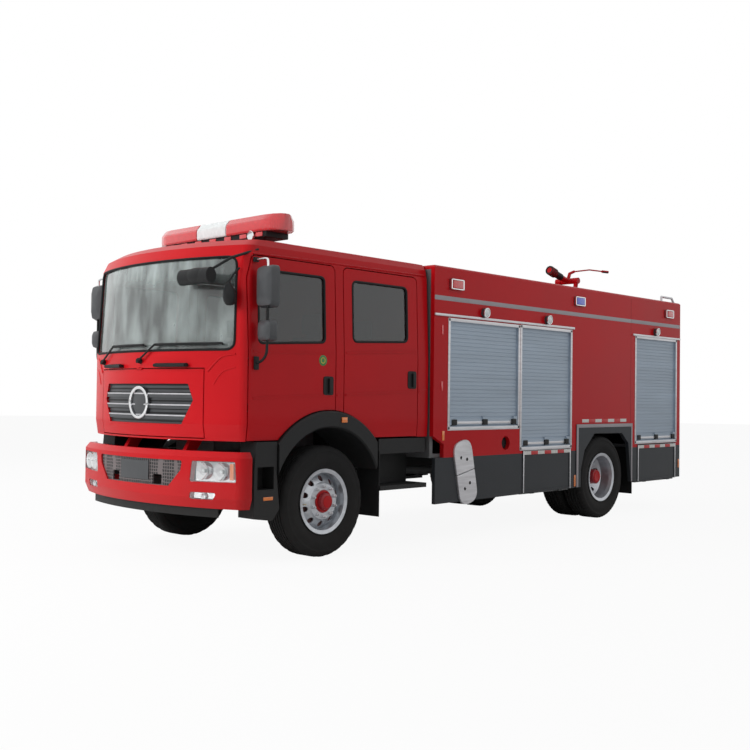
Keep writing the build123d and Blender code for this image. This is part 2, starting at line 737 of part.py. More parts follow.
def make_rear_axle():
    """The driven axle: housing, differential bowl, spindle ends and leaf springs."""
    with BuildPart() as axle:
        rod((rear_axle_x, -560, axle_z), (rear_axle_x, 560, axle_z), 95)
        rod((rear_axle_x, -rear_outer_tyre_y - 20, axle_z), (rear_axle_x, rear_outer_tyre_y + 20, axle_z),
            rear_spindle_radius)
        with Locations((rear_axle_x, 0, axle_z)):
            Sphere(205)
        with Locations(Plane(origin=(rear_axle_x + 100, 0, axle_z), z_dir=(1, 0, 0.12))):
            Cone(150, 75, 250, align=(Align.CENTER, Align.CENTER, Align.MIN))
        for side in (1, -1):
            block((rear_axle_x - 80, side * spring_y - 50, axle_z + 40), (rear_axle_x + 80, side * spring_y + 50, 640))
        make_springs(rear_axle_x, spring_half_length + 20, 630)
    return axle


def make_engine():
    """One plain block for the engine, with the gearbox behind it and the drive shaft."""
    with BuildPart() as engine:
        block((front_axle_x - 650, -300, 610), (front_axle_x + 650, 300, 1190))
        block((front_axle_x - 1250, -190, 640), (front_axle_x - 650, 190, 960))
        rod((front_axle_x - 1240, 0, 720), (rear_axle_x + 352, 0, axle_z + 30), 55)
        for y in (-340, 260):
            block((front_axle_x - 60, y, 740), (front_axle_x + 60, y + 80, 800))
    return engine


def make_chassis_tanks():
    """Air reservoirs on the left rail and the fuel tank on the right rail."""
    with BuildPart() as tanks:
        for z in (630, 840):
            rod((front_axle_x - 1350, 620, z), (front_axle_x - 720, 620, z), 100)
        for x in (front_axle_x - 1230, front_axle_x - 860):
            block((x - 25, 600, 600), (x + 25, 640, 870))
            block((x - 25, rail_outer_y, 810), (x + 25, 640, 870))
        block((front_axle_x - 1400, -880, 560), (front_axle_x - 720, -480, 950))
        fillet(tanks.edges().filter_by(Axis.X).filter_by(lambda e: e.center().Y < -400), 60)
        for x in (front_axle_x - 1230, front_axle_x - 860):
            block((x - 25, -520, 800), (x + 25, -rail_outer_y, 860))
    return tanks


step_inner_y = 1000.0
step_outer_y = 1212.0


def make_cab_steps():
    """Black step panels under the front doors, ahead of the wheels, hung from the cab's floor."""
    with BuildPart() as steps:
        with BuildSketch(Plane.XZ.offset(-step_outer_y)) as panel:
            with BuildLine():
                FilletPolyline((front_axle_x + 895, 1100), (front_axle_x + 655, 1100), (front_axle_x + 655, 800),
                               (front_axle_x + 620, 500), (front_axle_x + 700, 400), (front_axle_x + 915, 430),
                               (front_axle_x + 915, 860), radius=[0, 0, 0, 30, 30, 0, 0], close=True)
            make_face()
        extrude(panel.sketch, amount=step_outer_y - step_inner_y)
        block((front_axle_x + 690, 1060, 680), (front_axle_x + 880, 1300, 880), mode=Mode.SUBTRACT)
        block((front_axle_x + 670, step_inner_y, 1000), (front_axle_x + 880, 1090, cab_floor_z))
        mirror(about=Plane.XZ)
    return steps


def make_side_steps():
    """The crew's two-tread steps behind the front wheels, on brackets from the rails."""
    with BuildPart() as steps:
        with BuildSketch(Plane.YZ.offset(front_axle_x - 1400)) as section:
            with BuildLine():
                Polyline((1165, 1094), (1185, 1094), (1185, 945), (930, 945), (930, 630), (step_outer_y, 630),
                         (step_outer_y, 585), (900, 585), (900, 975), (1165, 975), close=True)
            make_face()
        extrude(section.sketch, amount=700)
        for x in (front_axle_x - 1330, front_axle_x - 790):
            block((x - 20, rail_outer_y, 955), (x + 20, 910, 975))
        mirror(about=Plane.XZ)
    return steps


headlamp_points = [(735, 748), (760, 932), (1192, 936), (1204, 756)]
fog_lamp_points = [(735, 596), (745, 658), (1020, 662), (985, 600)]
bumper_grille_points = [(-652, 928), (652, 928), (634, 840), (490, 694), (-490, 694), (-634, 840)]


def mirrored_points(points):
    """The same outline on the other side."""
    return [(-y, z) for y, z in points]


def make_bumper():
    """The bowed bumper shell with openings for lamps and grille, on two brackets."""
    with BuildPart() as hollow:
        add(bumper_form(bumper_wall, bumper_bottom_z - 20, bumper_top_z - bumper_wall))
    with BuildPart() as brackets:
        for side in (1, -1):
            y = side * 590
            block((front_crossmember_x[1], y - 30, 665), (front_axle_x + 1320, y + 30, 725))
        add(bumper_form(bumper_wall / 2, bumper_bottom_z, bumper_top_z), mode=Mode.INTERSECT)
    with BuildPart() as bumper:
        add(bumper_form(0, bumper_bottom_z, bumper_top_z))
        add(hollow.part, mode=Mode.SUBTRACT)
        extrude(bowed_face(Plane.XY.offset(bumper_top_z - 80), bumper_half_width - 70, bumper_corner_x - 70,
                           bumper_bow, bumper_rear_x - 20, 60), amount=200, mode=Mode.SUBTRACT)
        for points in (headlamp_points, fog_lamp_points):
            extrude(front_outline(points, [18] * 4), amount=front_depth, mode=Mode.SUBTRACT)
            extrude(front_outline(mirrored_points(points), [18] * 4), amount=front_depth, mode=Mode.SUBTRACT)
        extrude(front_outline(bumper_grille_points, [20] * 6), amount=front_depth, mode=Mode.SUBTRACT)
        add(brackets.part)
    return bumper


def make_bumper_grille():
    """The lower grille panel with a blank plate and two towing-eye openings."""
    with BuildPart() as panel:
        add(bumper_form(14, bumper_bottom_z, bumper_top_z - 20))
        add(bumper_form(30, bumper_bottom_z - 20, bumper_top_z - 30), mode=Mode.SUBTRACT)
        extrude(front_outline(bumper_grille_points, [20] * 6, grow=-fit_gap), amount=front_depth,
                mode=Mode.INTERSECT)
        for y in (-330, 330):
            extrude(front_outline([(y - 60, 700), (y - 60, 790), (y + 60, 790), (y + 60, 700)], [10] * 4),
                    amount=front_depth, mode=Mode.SUBTRACT)
    return panel


def make_headlamps():
    """Headlamps and fog lamps, whose lenses follow the bumper's face."""
    with BuildPart() as lamps:
        for points in (headlamp_points, fog_lamp_points):
            extrude(front_outline(points, [18] * 4, grow=-fit_gap), amount=front_depth)
            extrude(front_outline(mirrored_points(points), [18] * 4, grow=-fit_gap), amount=front_depth)
        add(bumper_form(4, bumper_bottom_z - 5, bumper_top_z - 4), mode=Mode.INTERSECT)
        add(bumper_form(bumper_wall, bumper_bottom_z - 20, bumper_top_z - 20), mode=Mode.SUBTRACT)
    return lamps


# Body
side_wall_top_z = body_roof_z - body_roof_thick
locker_floor_z = body_side_bottom_z
locker_inner_y = 520.0
# Rear shutter: low y, high y, low z, high z.
rear_shutter = (-900.0, 500.0, 1210.0, 2365.0)

# Rear wheel arch: columns are distance behind the panel's front edge, and height.
arch_outline = [(-100, 380), (-100, 640), (-186, 880), (-416, 1083), (-1096, 1075), (-1262, 942), (-1334, 440),
                (-1334, 380)]



def make_body_sides():
    """Both side panels, with openings for the roller shutters and the wheel-arch panel."""
    with BuildPart() as sides:
        block((body_rear_x, body_half_width - body_wall, body_side_bottom_z),
              (body_front_x, body_half_width, side_wall_top_z))
        for front_x, rear_x, low_z, high_z in shutter_openings:
            block((rear_x, 0, low_z), (front_x, 1400, high_z), mode=Mode.SUBTRACT)
        block((fender_rear_x, 0, 0), (fender_front_x, 1400, fender_top_z), mode=Mode.SUBTRACT)
        for front_x, rear_x in step_flaps:
            block((rear_x - flap_gap, 0, 0), (front_x + flap_gap, 1400, flap_high_z + 12), mode=Mode.SUBTRACT)
        rod((front_axle_x - 2730, 900, 1007), (front_axle_x - 2730, 1400, 1007), 77, mode=Mode.SUBTRACT)
        with BuildSketch(Plane.XZ.offset(-1400)) as notch:
            with BuildLine():
                Polyline((body_front_x + 10, notch_top_z + 5), (notch_rear_x, notch_top_z - 90),
                         (notch_rear_x, body_side_bottom_z - 10), (body_front_x + 10, body_side_bottom_z - 10),
                         close=True)
            make_face()
        extrude(notch.sketch, amount=400, mode=Mode.SUBTRACT)
        mirror(about=Plane.XZ)
    return sides


def make_body_frame():
    """The welded frame: floor, locker floors, bearers on the rails, end walls and the steps' sills."""
    inner_y = body_half_width - body_wall
    with BuildPart() as frame:
        block((body_rear_x, -inner_y, body_floor_z), (body_front_x, inner_y, body_floor_z + body_floor_thick))
        for front_x, rear_x in ((body_front_x, fender_front_x + 40), (fender_rear_x - 40, body_rear_x)):
            for side in (1, -1):
                y = sorted((side * locker_inner_y, side * inner_y))
                block((rear_x, y[0], locker_floor_z), (front_x, y[1], locker_floor_z + 40))
                wall_y = sorted((side * locker_inner_y, side * (locker_inner_y + 30)))
                block((rear_x, wall_y[0], locker_floor_z), (front_x, wall_y[1], body_floor_z + 10))
        for side in (1, -1):
            y = sorted((side * 350, side * rail_outer_y))
            block((body_rear_x, y[0], rail_top_z), (body_front_x - 60, y[1], body_floor_z + 10))
        for front_x, rear_x in ((body_front_x, body_front_x - body_wall), (body_rear_x + body_wall, body_rear_x)):
            block((rear_x, -inner_y, body_floor_z), (front_x, inner_y, side_wall_top_z))
            for side in (1, -1):
                y = sorted((side * locker_inner_y, side * inner_y))
                block((rear_x, y[0], locker_floor_z), (front_x, y[1], body_floor_z + 10))
        block((body_rear_x - 60, rear_shutter[0], rear_shutter[2]),
              (body_rear_x + body_wall + 5, rear_shutter[1], rear_shutter[3]), mode=Mode.SUBTRACT)
        for front_x, rear_x in step_flaps:
            for side in (1, -1):
                y = sorted((side * (body_half_width - 130), side * (body_half_width - flap_thick - 6)))
                block((rear_x - flap_gap, y[0], flap_low_z - 20), (front_x + flap_gap, y[1], flap_low_z + 20))
                y = sorted((side * (body_half_width - 130), side * (body_half_width - 90)))
                for x in (rear_x + 60, front_x - 120):
                    block((x, y[0], flap_low_z), (x + 60, y[1], locker_floor_z + 20))
                y = sorted((side * (body_half_width - flap_thick - 20), side * flap_hinge_y))
                for x in flap_hinges(front_x, rear_x):
                    rod((x - 38, side * flap_hinge_y, flap_hinge_z), (x + 38, side * flap_hinge_y, flap_hinge_z),
                        pin_radius)
                    for low_x in (x - 38, x + 20):
                        rod((low_x, side * flap_hinge_y, flap_hinge_z), (low_x + 18, side * flap_hinge_y, flap_hinge_z),
                            lug_radius)
                        block((low_x, y[0], flap_hinge_z - 7), (low_x + 18, y[1], flap_hinge_z + 7))
    return frame


def make_body_roof():
    """The roof panel with rounded edges, flat on the walls."""
    with BuildPart() as roof:
        block((body_rear_x, -body_half_width, side_wall_top_z), (body_front_x, body_half_width, body_roof_z))
        fillet(roof.faces().sort_by(Axis.Z)[-1].edges(), 30)
    return roof


def make_curtain(width, height):
    """A roller shutter: frame, slatted curtain and lift bar, facing +Y, from its lower rear corner."""
    inner_width = width - 2 * shutter_frame
    slats = int((height - 2 * shutter_frame - lift_bar_height) / slat_pitch)
    with BuildPart() as shutter:
        block((0, 0, 0), (width, body_wall, height))
        block((shutter_frame, -1, shutter_frame), (width - shutter_frame, body_wall + 1, height - shutter_frame),
              mode=Mode.SUBTRACT)
        face_y = body_wall - shutter_recess
        with BuildSketch(Plane.YZ.offset(shutter_frame)) as section:
            with BuildLine():
                points = [(face_y - slat_thick, shutter_frame), (face_y, shutter_frame)]
                z = shutter_frame + lift_bar_height
                for _ in range(slats):
                    points += [(face_y, z), (face_y - slat_groove, z + 2), (face_y - slat_groove, z + 7),
                               (face_y, z + 9)]
                    z += slat_pitch
                points += [(face_y, height - shutter_frame), (face_y - slat_thick, height - shutter_frame)]
                Polyline(*points, close=True)
            make_face()
        extrude(section.sketch, amount=inner_width)
        block((shutter_frame, face_y, shutter_frame + 12),
              (width - shutter_frame, face_y + 14, shutter_frame + lift_bar_height - 14))
        for x in (shutter_frame + 5, width / 2 - 35, width - shutter_frame - 75):
            block((x, face_y, shutter_frame + 15), (x + 70, face_y + 24, shutter_frame + lift_bar_height + 5))
    return shutter.part


def make_shutters():
    """All the roller shutters, closed, three on each side and one at the rear."""
    with BuildPart() as shutters:
        for front_x, rear_x, low_z, high_z in shutter_openings:
            curtain = make_curtain(front_x - rear_x, high_z - low_z)
            add(curtain.moved(Location((rear_x, body_half_width - body_wall, low_z))))
        mirror(about=Plane.XZ)
        low_y, high_y, low_z, high_z = rear_shutter
        curtain = make_curtain(high_y - low_y, high_z - low_z)
        add(curtain.moved(Location((body_rear_x + body_wall, low_y, low_z), (0, 0, 90))))
    return shutters


def make_body_trim():
    """Aluminium drip rails over the shutters and the oval step plates on the skirts."""
    with BuildPart() as trim:
        for front_x, rear_x in ((body_front_x, front_axle_x - 4127), (front_axle_x - 5566, front_axle_x - 6900)):
            block((rear_x, body_half_width, 2366), (front_x, body_half_width + 16, 2392))
        with BuildSketch(Plane.XZ.offset(-body_half_width - 22)) as plate:
            with Locations((front_axle_x - 1985, 710)):
                SlotOverall(690, 205, rotation=102)
            with Locations((front_axle_x - 1915, 890), (front_axle_x - 1975, 830),
                           (front_axle_x - 2000, 590), (front_axle_x - 2060, 530)):
                Circle(14, mode=Mode.SUBTRACT)
        extrude(plate.sketch, amount=22)
        mirror(about=Plane.XZ)
    return trim


def make_skirts():
    """Dark lower panels of the body: skirts, wheel-arch panels and the mud flaps' brackets."""
    low_z = skirt_bottom_z
    inner_y = body_half_width - skirt_thick
    with BuildPart() as skirts:
        with BuildSketch(Plane.XZ.offset(-body_half_width)) as front_panel:
            with BuildLine():
                Polyline((skirt_front_x, body_side_bottom_z), (skirt_front_x, low_z), (fender_front_x, low_z + 25),
                         (fender_front_x, body_side_bottom_z), close=True)
            make_face()
        extrude(front_panel.sketch, amount=skirt_thick)
        with BuildSketch(Plane.XZ.offset(-body_half_width - 8)) as arch_panel:
            with BuildLine():
                Polyline((fender_front_x, low_z + 25), (fender_front_x, fender_top_z), (fender_rear_x, fender_top_z),
                         (fender_rear_x, low_z + 30), close=True)
            make_face()
            with BuildLine():
                Polyline(*[(fender_front_x + x, z) for x, z in arch_outline], close=True)
            make_face(mode=Mode.SUBTRACT)
        extrude(arch_panel.sketch, amount=skirt_thick + 8)
        block((body_rear_x, inner_y, low_z + 30), (fender_rear_x, body_half_width, body_side_bottom_z))
        for front_x, rear_x in step_flaps:
            block((rear_x - flap_gap, 0, 0), (front_x + flap_gap, 1400, flap_high_z + 12), mode=Mode.SUBTRACT)
        mirror(about=Plane.XZ)
    return skirts


def flap_hinges(front_x, rear_x):
    """Where along a fold-down step its two hinges sit."""
    return rear_x + 200, front_x - 200


def make_flap(front_x, rear_x):
    """A left fold-down step: a framed panel hinged along its low edge."""
    with BuildPart() as flap:
        block((rear_x, body_half_width - flap_thick, flap_low_z), (front_x, body_half_width, flap_high_z))
        with BuildSketch(Plane.XZ.offset(-body_half_width - 8)) as rim:
            with Locations(((front_x + rear_x) / 2, (flap_low_z + flap_high_z) / 2)):
                Rectangle(front_x - rear_x, flap_high_z - flap_low_z)
                Rectangle(front_x - rear_x - 44, flap_high_z - flap_low_z - 44, mode=Mode.SUBTRACT)
        extrude(rim.sketch, amount=8)
        for x in flap_hinges(front_x, rear_x):
            rod((x - 18, flap_hinge_y, flap_hinge_z), (x + 18, flap_hinge_y, flap_hinge_z), lug_radius)
            block((x - 18, flap_hinge_y - lug_radius, flap_hinge_z), (x + 18, flap_hinge_y + lug_radius, flap_low_z + 5))
            rod((x - 40, flap_hinge_y, flap_hinge_z), (x + 40, flap_hinge_y, flap_hinge_z), pin_radius + running_gap,
                mode=Mode.SUBTRACT)
    return flap


def make_body_lamps():
    """Warning lamps, round work lamps and side reflectors on the body, and the rear lamp clusters."""
    with BuildPart() as lamps:
        for x in (-1805, -4230, -6555):
            block((front_axle_x + x - 105, body_half_width, 2662), (front_axle_x + x + 105, body_half_width + 26, 2768))
        for x in (-2300, -3530, -6180):
            rod((front_axle_x + x, body_half_width, 2445), (front_axle_x + x, body_half_width + 45, 2445), 50)
        mirror(about=Plane.XZ)
        for side in (1, -1):
            y = sorted((side * 1000, side * 1170))
            block((body_rear_x - 40, y[0], 905), (body_rear_x, y[1], 1130))
    return lamps


ladder_y = (700.0, 1080.0)
ladder_x = body_rear_x - 125.0
ladder_radius = 16.0


def make_rear_ladder():
    """The rear ladder, whose rails hoop over the roof's edge, and its standoffs."""
    top_z = body_roof_z + 85
    with BuildPart() as ladder:
        for y in ladder_y:
            rod((ladder_x, y, 780), (ladder_x, y, top_z - 60), ladder_radius)
            rod((ladder_x + 60, y, top_z), (body_rear_x + 240, y, top_z), ladder_radius)
            rod((ladder_x, y, top_z - 60), (ladder_x + 60, y, top_z), ladder_radius)
            rod((body_rear_x + 240, y, top_z), (body_rear_x + 240, y, body_roof_z), ladder_radius)
            for point in ((ladder_x, y, top_z - 60), (ladder_x + 60, y, top_z), (body_rear_x + 240, y, top_z)):
                with Locations(point):
                    Sphere(ladder_radius)
            for z in (1150, 1900, 2600):
                rod((ladder_x, y, z), (body_rear_x, y, z), ladder_radius - 4)
        for step in range(7):
            z = 840 + step * 300
            rod((ladder_x, ladder_y[0], z), (ladder_x, ladder_y[1], z), ladder_radius - 2)
    return ladder


def make_rear_bumper():
    """The rear underrun bar on two arms from the rails."""
    with BuildPart() as bar:
        block((front_axle_x - rear_reach, -1150, 440), (front_axle_x - rear_reach + 90, 1150, 570))
        fillet(bar.edges().filter_by(Axis.Y), 15)
        for side in (1, -1):
            y = sorted((side * 360, side * rail_outer_y))
            block((front_axle_x - rear_reach + 60, y[0], 480), (rail_rear_x - 5, y[1], 550))
            block((rail_rear_x - 75, y[0], 480), (rail_rear_x - 5, y[1], rail_bottom_z + 60))
            block((rail_rear_x - 75, y[0], rail_bottom_z), (rail_rear_x, y[1], rail_bottom_z + 60))
    return bar


def make_mud_flaps():
    """Rubber flaps behind the wheels, hung from the body and from the crew steps."""
    with BuildPart() as flaps:
        block((front_axle_x - 5650, 640, 260), (front_axle_x - 5640, 1205, body_side_bottom_z))
        block((front_axle_x - 700, 900, 330), (front_axle_x - 690, 1200, 975))
        mirror(about=Plane.XZ)
    return flaps


def wheel_plane(x, y):
    """The plane of a wheel's cross-section: first axis outwards, second axis up."""
    return Plane(origin=(x, y, axle_z), x_dir=(0, 1, 0), z_dir=(1, 0, 0))


def make_tyres(places):
    """Plain tyres at the given places, each with round sidewalls and square shoulders."""
    half = tyre_half_width
    with BuildPart() as tyres:
        for x, y in places:
            with BuildSketch(wheel_plane(x, y)) as section:
                with BuildLine():
                    right = ThreePointArc((half - 33, tyre_bead_radius + 6), (half, 400), (half - 18, 492))
                    left = ThreePointArc((33 - half, tyre_bead_radius + 6), (-half, 400), (18 - half, 492))
                    Polyline(right @ 1, (half - 34, tyre_radius - 6), (half - 50, tyre_radius),
                             (50 - half, tyre_radius), (34 - half, tyre_radius - 6), left @ 1)
                    Polyline(right @ 0, (half - 36, tyre_bead_radius), (36 - half, tyre_bead_radius), left @ 0)
                make_face()
            revolve(section.sketch, Axis((x, y, axle_z), (0, 1, 0)))
    return tyres


def make_rims(x, discs):
    """Wheels with a hub. discs: columns are centre y, side the disc's face points to, disc's points."""
    with BuildPart() as rims:
        for y, dish in discs:
            seat = tyre_bead_radius - fit_gap
            with BuildSketch(wheel_plane(x, y)) as section:
                with BuildLine():
                    Polyline((132, rim_lip_radius), (124, rim_lip_radius), (115, seat), (-115, seat),
                             (-124, rim_lip_radius), (-132, rim_lip_radius), (-124, 270), (-80, 262), (80, 262),
                             (124, 270), close=True)
                make_face()
                with BuildLine():
                    Polyline(*dish, close=True)
                make_face()
            revolve(section.sketch, Axis((x, y, axle_z), (0, 1, 0)))
    return rims


def dish_points(edge_u, face_u, thick=13.0):
    """A disc from the rim's barrel at edge_u to its nut face at face_u."""
    step = (edge_u - face_u) / 5
    front = [(edge_u, 266), (edge_u - step, 246), (face_u + step, 182), (face_u, 168), (face_u, hub_radius - 4)]
    return front + [(u - thick, v) for u, v in reversed(front)]


def make_front_rim():
    """The left front wheel: a convex disc with hand holes, the hub and its cap."""
    with BuildPart() as rim:
        add(make_rims(front_axle_x, [(front_tyre_y, dish_points(30, 118))]).part)
        with BuildSketch(wheel_plane(front_axle_x, front_tyre_y)) as hub:
            with BuildLine():
                Polyline((-70, 0), (-70, hub_radius), (118, hub_radius), (122, 82), (165, 74), (175, 60), (175, 0),
                         close=True)
            make_face()
        revolve(hub.sketch, Axis((front_axle_x, front_tyre_y, axle_z), (0, 1, 0)))
        cut_hand_holes(front_axle_x, front_tyre_y)
        rod((front_axle_x, front_tyre_y - 90, axle_z), (front_axle_x, front_tyre_y + 66, axle_z),
            spindle_radius + running_gap, mode=Mode.SUBTRACT)
    return rim


def cut_hand_holes(x, y):
    """Round hand holes through a wheel's disc."""
    for count in range(hand_hole_count):
        angle = radians(360 * (count + 0.5) / hand_hole_count)
        hole_x = x + hand_hole_circle * cos(angle)
        hole_z = axle_z + hand_hole_circle * sin(angle)
        rod((hole_x, y - 200, hole_z), (hole_x, y + 200, hole_z), hand_hole_radius, mode=Mode.SUBTRACT)


def make_rear_rims():
    """The left twin wheels on one hub: discs meet between the tyres, the outer one deep dished."""
    middle_y = (rear_outer_tyre_y + rear_inner_tyre_y) / 2
    outer_face = middle_y + 14 - rear_outer_tyre_y
    inner_face = middle_y - rear_inner_tyre_y
    with BuildPart() as rim:
        add(make_rims(rear_axle_x, [(rear_outer_tyre_y, dish_points(-30, outer_face)),
                                    (rear_inner_tyre_y, dish_points(50, inner_face))]).part)
        with BuildSketch(wheel_plane(rear_axle_x, middle_y)) as hub:
            with BuildLine():
                Polyline((-250, 0), (-250, 150), (-60, 150), (-60, hub_radius), (14, hub_radius), (70, hub_radius),
                         (76, 96), (215, 90), (225, 78), (225, 0), close=True)
            make_face()
        revolve(hub.sketch, Axis((rear_axle_x, middle_y, axle_z), (0, 1, 0)))
        cut_hand_holes(rear_axle_x, middle_y)
        rod((rear_axle_x, middle_y - 260, axle_z), (rear_axle_x, rear_outer_tyre_y + 28, axle_z),
            rear_spindle_radius + running_gap, mode=Mode.SUBTRACT)
    return rim


def make_monitor_base():
    """The water monitor's flanged riser on the roof."""
    with BuildPart() as base:
        rod((monitor_x, 0, body_roof_z), (monitor_x, 0, body_roof_z + 20), 130)
        rod((monitor_x, 0, body_roof_z + 20), (monitor_x, 0, monitor_swivel_z - 5), 55)
        rod((monitor_x, 0, monitor_swivel_z - 5), (monitor_x, 0, monitor_swivel_z + 25), monitor_spigot_radius)
    return base


def make_monitor_head():
    """The swivelling fork: a collar and two pipes that part and rise to the tilt sleeves."""
    with BuildPart() as head:
        rod((monitor_x, 0, monitor_swivel_z), (monitor_x, 0, monitor_swivel_z + 45), 62)
        for side in (1, -1):
            path = [(0, monitor_swivel_z + 40), (side * 130, monitor_swivel_z + 85), (side * 150, monitor_pivot_z)]
            for start, end in zip(path, path[1:]):
                rod((monitor_x, start[0], start[1]), (monitor_x, end[0], end[1]), 32)
            for y, z in path[:2]:
                with Locations((monitor_x, y, z)):
                    Sphere(32)
            y = sorted((side * 95, side * 185))
            rod((monitor_x, y[0], monitor_pivot_z), (monitor_x, y[1], monitor_pivot_z), 44)
            y = sorted((side * 94, side * 160))
            rod((monitor_x, y[0], monitor_pivot_z), (monitor_x, y[1], monitor_pivot_z),
                monitor_trunnion_radius + running_gap, mode=Mode.SUBTRACT)
        rod((monitor_x, 0, monitor_swivel_z - 1), (monitor_x, 0, monitor_swivel_z + 30),
            monitor_spigot_radius + running_gap, mode=Mode.SUBTRACT)
    return head


def make_monitor_barrel():
    """The tilting barrel: cross tube, waterway, black nozzle and the aiming lever."""
    x, z = monitor_x, monitor_pivot_z
    with BuildPart() as barrel:
        rod((x, -89, z), (x, 89, z), 42)
        rod((x, -154, z), (x, 154, z), monitor_trunnion_radius)
        rod((x, 0, z), (x + 180, 0, z + 46), 40)
        rod((x + 170, 0, z + 44), (x + 340, 0, z + 87), 44)
        rod((x + 330, 0, z + 84), (x + 465, 0, z + 119), 62)
        rod((x, 0, z), (x - 60, 0, z + 120), 24)
        rod((x - 60, 0, z + 120), (x - 130, 25, z + 152), 20)
        rod((x - 130, 25, z + 152), (x - 380, 130, z + 195), 10)
        rod((x - 380, 130, z + 195), (x - 690, 255, z + 182), 10)
        rod((x - 590, 215, z + 186), (x - 690, 255, z + 182), 19)
        for point in ((x - 60, 0, z + 120), (x - 130, 25, z + 152)):
            with Locations(point):
                Sphere(20)
        with Locations((x - 380, 130, z + 195)):
            Sphere(10)
    return barrel


# Pieces that lie across the truck, or on both sides of it
for label, make in (
    ("frame_rails", make_frame), ("front_axle", make_front_axle), ("rear_axle", make_rear_axle),
    ("engine", make_engine), ("chassis_tanks", make_chassis_tanks), ("side_steps", make_side_steps),
    ("bumper", make_bumper), ("bumper_grille", make_bumper_grille), ("headlamps", make_headlamps),
    ("body_frame", make_body_frame), ("body_sides", make_body_sides), ("body_roof", make_body_roof),
    ("shutters", make_shutters), ("body_trim", make_body_trim), ("skirts", make_skirts),
    ("body_lamps", make_body_lamps), ("rear_ladder", make_rear_ladder), ("rear_bumper", make_rear_bumper),
    ("mud_flaps", make_mud_flaps), ("monitor_base", make_monitor_base), ("monitor_head", make_monitor_head),
    ("monitor_barrel", make_monitor_barrel), ("cab_shell", make_cab_shell), ("windscreen", make_windscreen),
    ("cab_trim", make_cab_trim), ("cab_steps", make_cab_steps), ("seats", make_seats),
    ("dashboard", make_dashboard), ("light_bar", make_light_bar), ("wheel_flares", make_flares),
    ("front_panel", make_front_panel), ("front_grille", make_grille),
):
    keep(make(), label)

# Pieces made for the left side and mirrored for the right
side_pieces = [("mirror_front", make_mirror()), ("knuckle", make_knuckle()),
               ("tyre_front", make_tyres([(front_axle_x, front_tyre_y)])), ("rim_front", make_front_rim()),
               ("tyre_rear", make_tyres([(rear_axle_x, rear_outer_tyre_y), (rear_axle_x, rear_inner_tyre_y)])),
               ("rim_rear", make_rear_rims())]
for (name, points, radii, window), hinge_x in zip(door_rows, door_hinge_x):
    side_pieces += [(f"door_{name}", make_door(points, radii, window, hinge_x)),
                    (f"glass_{name}", make_door_glass(window))]
for name, row in zip(("front", "rear"), step_flaps):
    side_pieces.append((f"step_{name}", make_flap(*row)))
for name, piece in side_pieces:
    keep(mirrored(piece), f"{name}_right")
    keep(piece, f"{name}_left")
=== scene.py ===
from math import cos, pi, radians, sin, sqrt

import bmesh
import bpy
from bpy.props import BoolProperty, FloatProperty, FloatVectorProperty, IntProperty, PointerProperty
from mathutils import Matrix, Vector


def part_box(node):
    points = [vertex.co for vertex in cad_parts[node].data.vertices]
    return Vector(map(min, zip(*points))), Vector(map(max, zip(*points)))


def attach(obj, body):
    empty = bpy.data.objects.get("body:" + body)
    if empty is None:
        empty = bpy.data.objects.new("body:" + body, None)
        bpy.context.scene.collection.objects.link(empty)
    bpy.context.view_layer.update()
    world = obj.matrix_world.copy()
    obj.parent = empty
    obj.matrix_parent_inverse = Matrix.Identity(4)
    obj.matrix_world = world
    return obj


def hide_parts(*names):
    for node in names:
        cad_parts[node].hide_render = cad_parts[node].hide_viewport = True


bl_info = {
    "name": "Fire Truck Dresser",
    "version": (1, 0, 0),
    "blender": (4, 5, 0),
    "location": "View3D > Sidebar > Fire Truck",
    "description": "Dresses a crew-cab fire truck: finishes, glass, lamps, tyres, trim and seats",
    "category": "Add Mesh",
}

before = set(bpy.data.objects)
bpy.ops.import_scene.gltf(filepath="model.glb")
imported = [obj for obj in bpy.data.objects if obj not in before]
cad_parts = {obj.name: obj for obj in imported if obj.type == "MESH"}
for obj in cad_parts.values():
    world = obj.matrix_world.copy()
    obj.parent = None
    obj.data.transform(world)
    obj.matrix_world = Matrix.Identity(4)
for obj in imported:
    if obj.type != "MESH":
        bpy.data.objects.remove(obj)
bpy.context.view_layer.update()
axle_x = (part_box("tyre_front_left")[0][0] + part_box("tyre_front_left")[1][0]) / 2
rear_x = (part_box("tyre_rear_left")[0][0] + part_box("tyre_rear_left")[1][0]) / 2
hub_z = 0.522
hands = ((1, "left"), (-1, "right"))


class TruckColours(bpy.types.PropertyGroup):
    """Paint and trim colours."""

    red: FloatVectorProperty(name="Red paint", description="Cab and body paint", subtype="COLOR", size=3,
                             default=(0.46, 0.005, 0.009))
    skirt: FloatVectorProperty(name="Skirt paint", description="Paint of the lower body panels", subtype="COLOR",
                               size=3, default=(0.017, 0.021, 0.026))
    shutter: FloatVectorProperty(name="Shutter", description="Anodised slats", subtype="COLOR", size=3,
                                 default=(0.34, 0.41, 0.49))
    trim: FloatVectorProperty(name="Black trim", description="Grained plastic", subtype="COLOR", size=3,
                              default=(0.007, 0.0075, 0.008))
    stripe: FloatVectorProperty(name="Side stripe", description="Grey line along the body", subtype="COLOR", size=3,
                                default=(0.30, 0.28, 0.30))


class TruckSizes(bpy.types.PropertyGroup):
    """Sizes that a user may want to change."""

    tread_depth: FloatProperty(name="Tread depth", description="Depth of the tyres' grooves", default=0.012,
                               min=0.0, max=0.02, unit="LENGTH")
    nut_count: IntProperty(name="Wheel nuts", description="Nuts on each wheel", default=10, min=6, max=12)
    show_floor: BoolProperty(name="Floor", description="Lay the studio floor", default=True)


# Materials

def new_material(name):
    """An empty node material with its Principled shader."""
    material = bpy.data.materials.new(name)
    material.use_nodes = True
    return material, material.node_tree.nodes, material.node_tree.links, material.node_tree.nodes["Principled BSDF"]


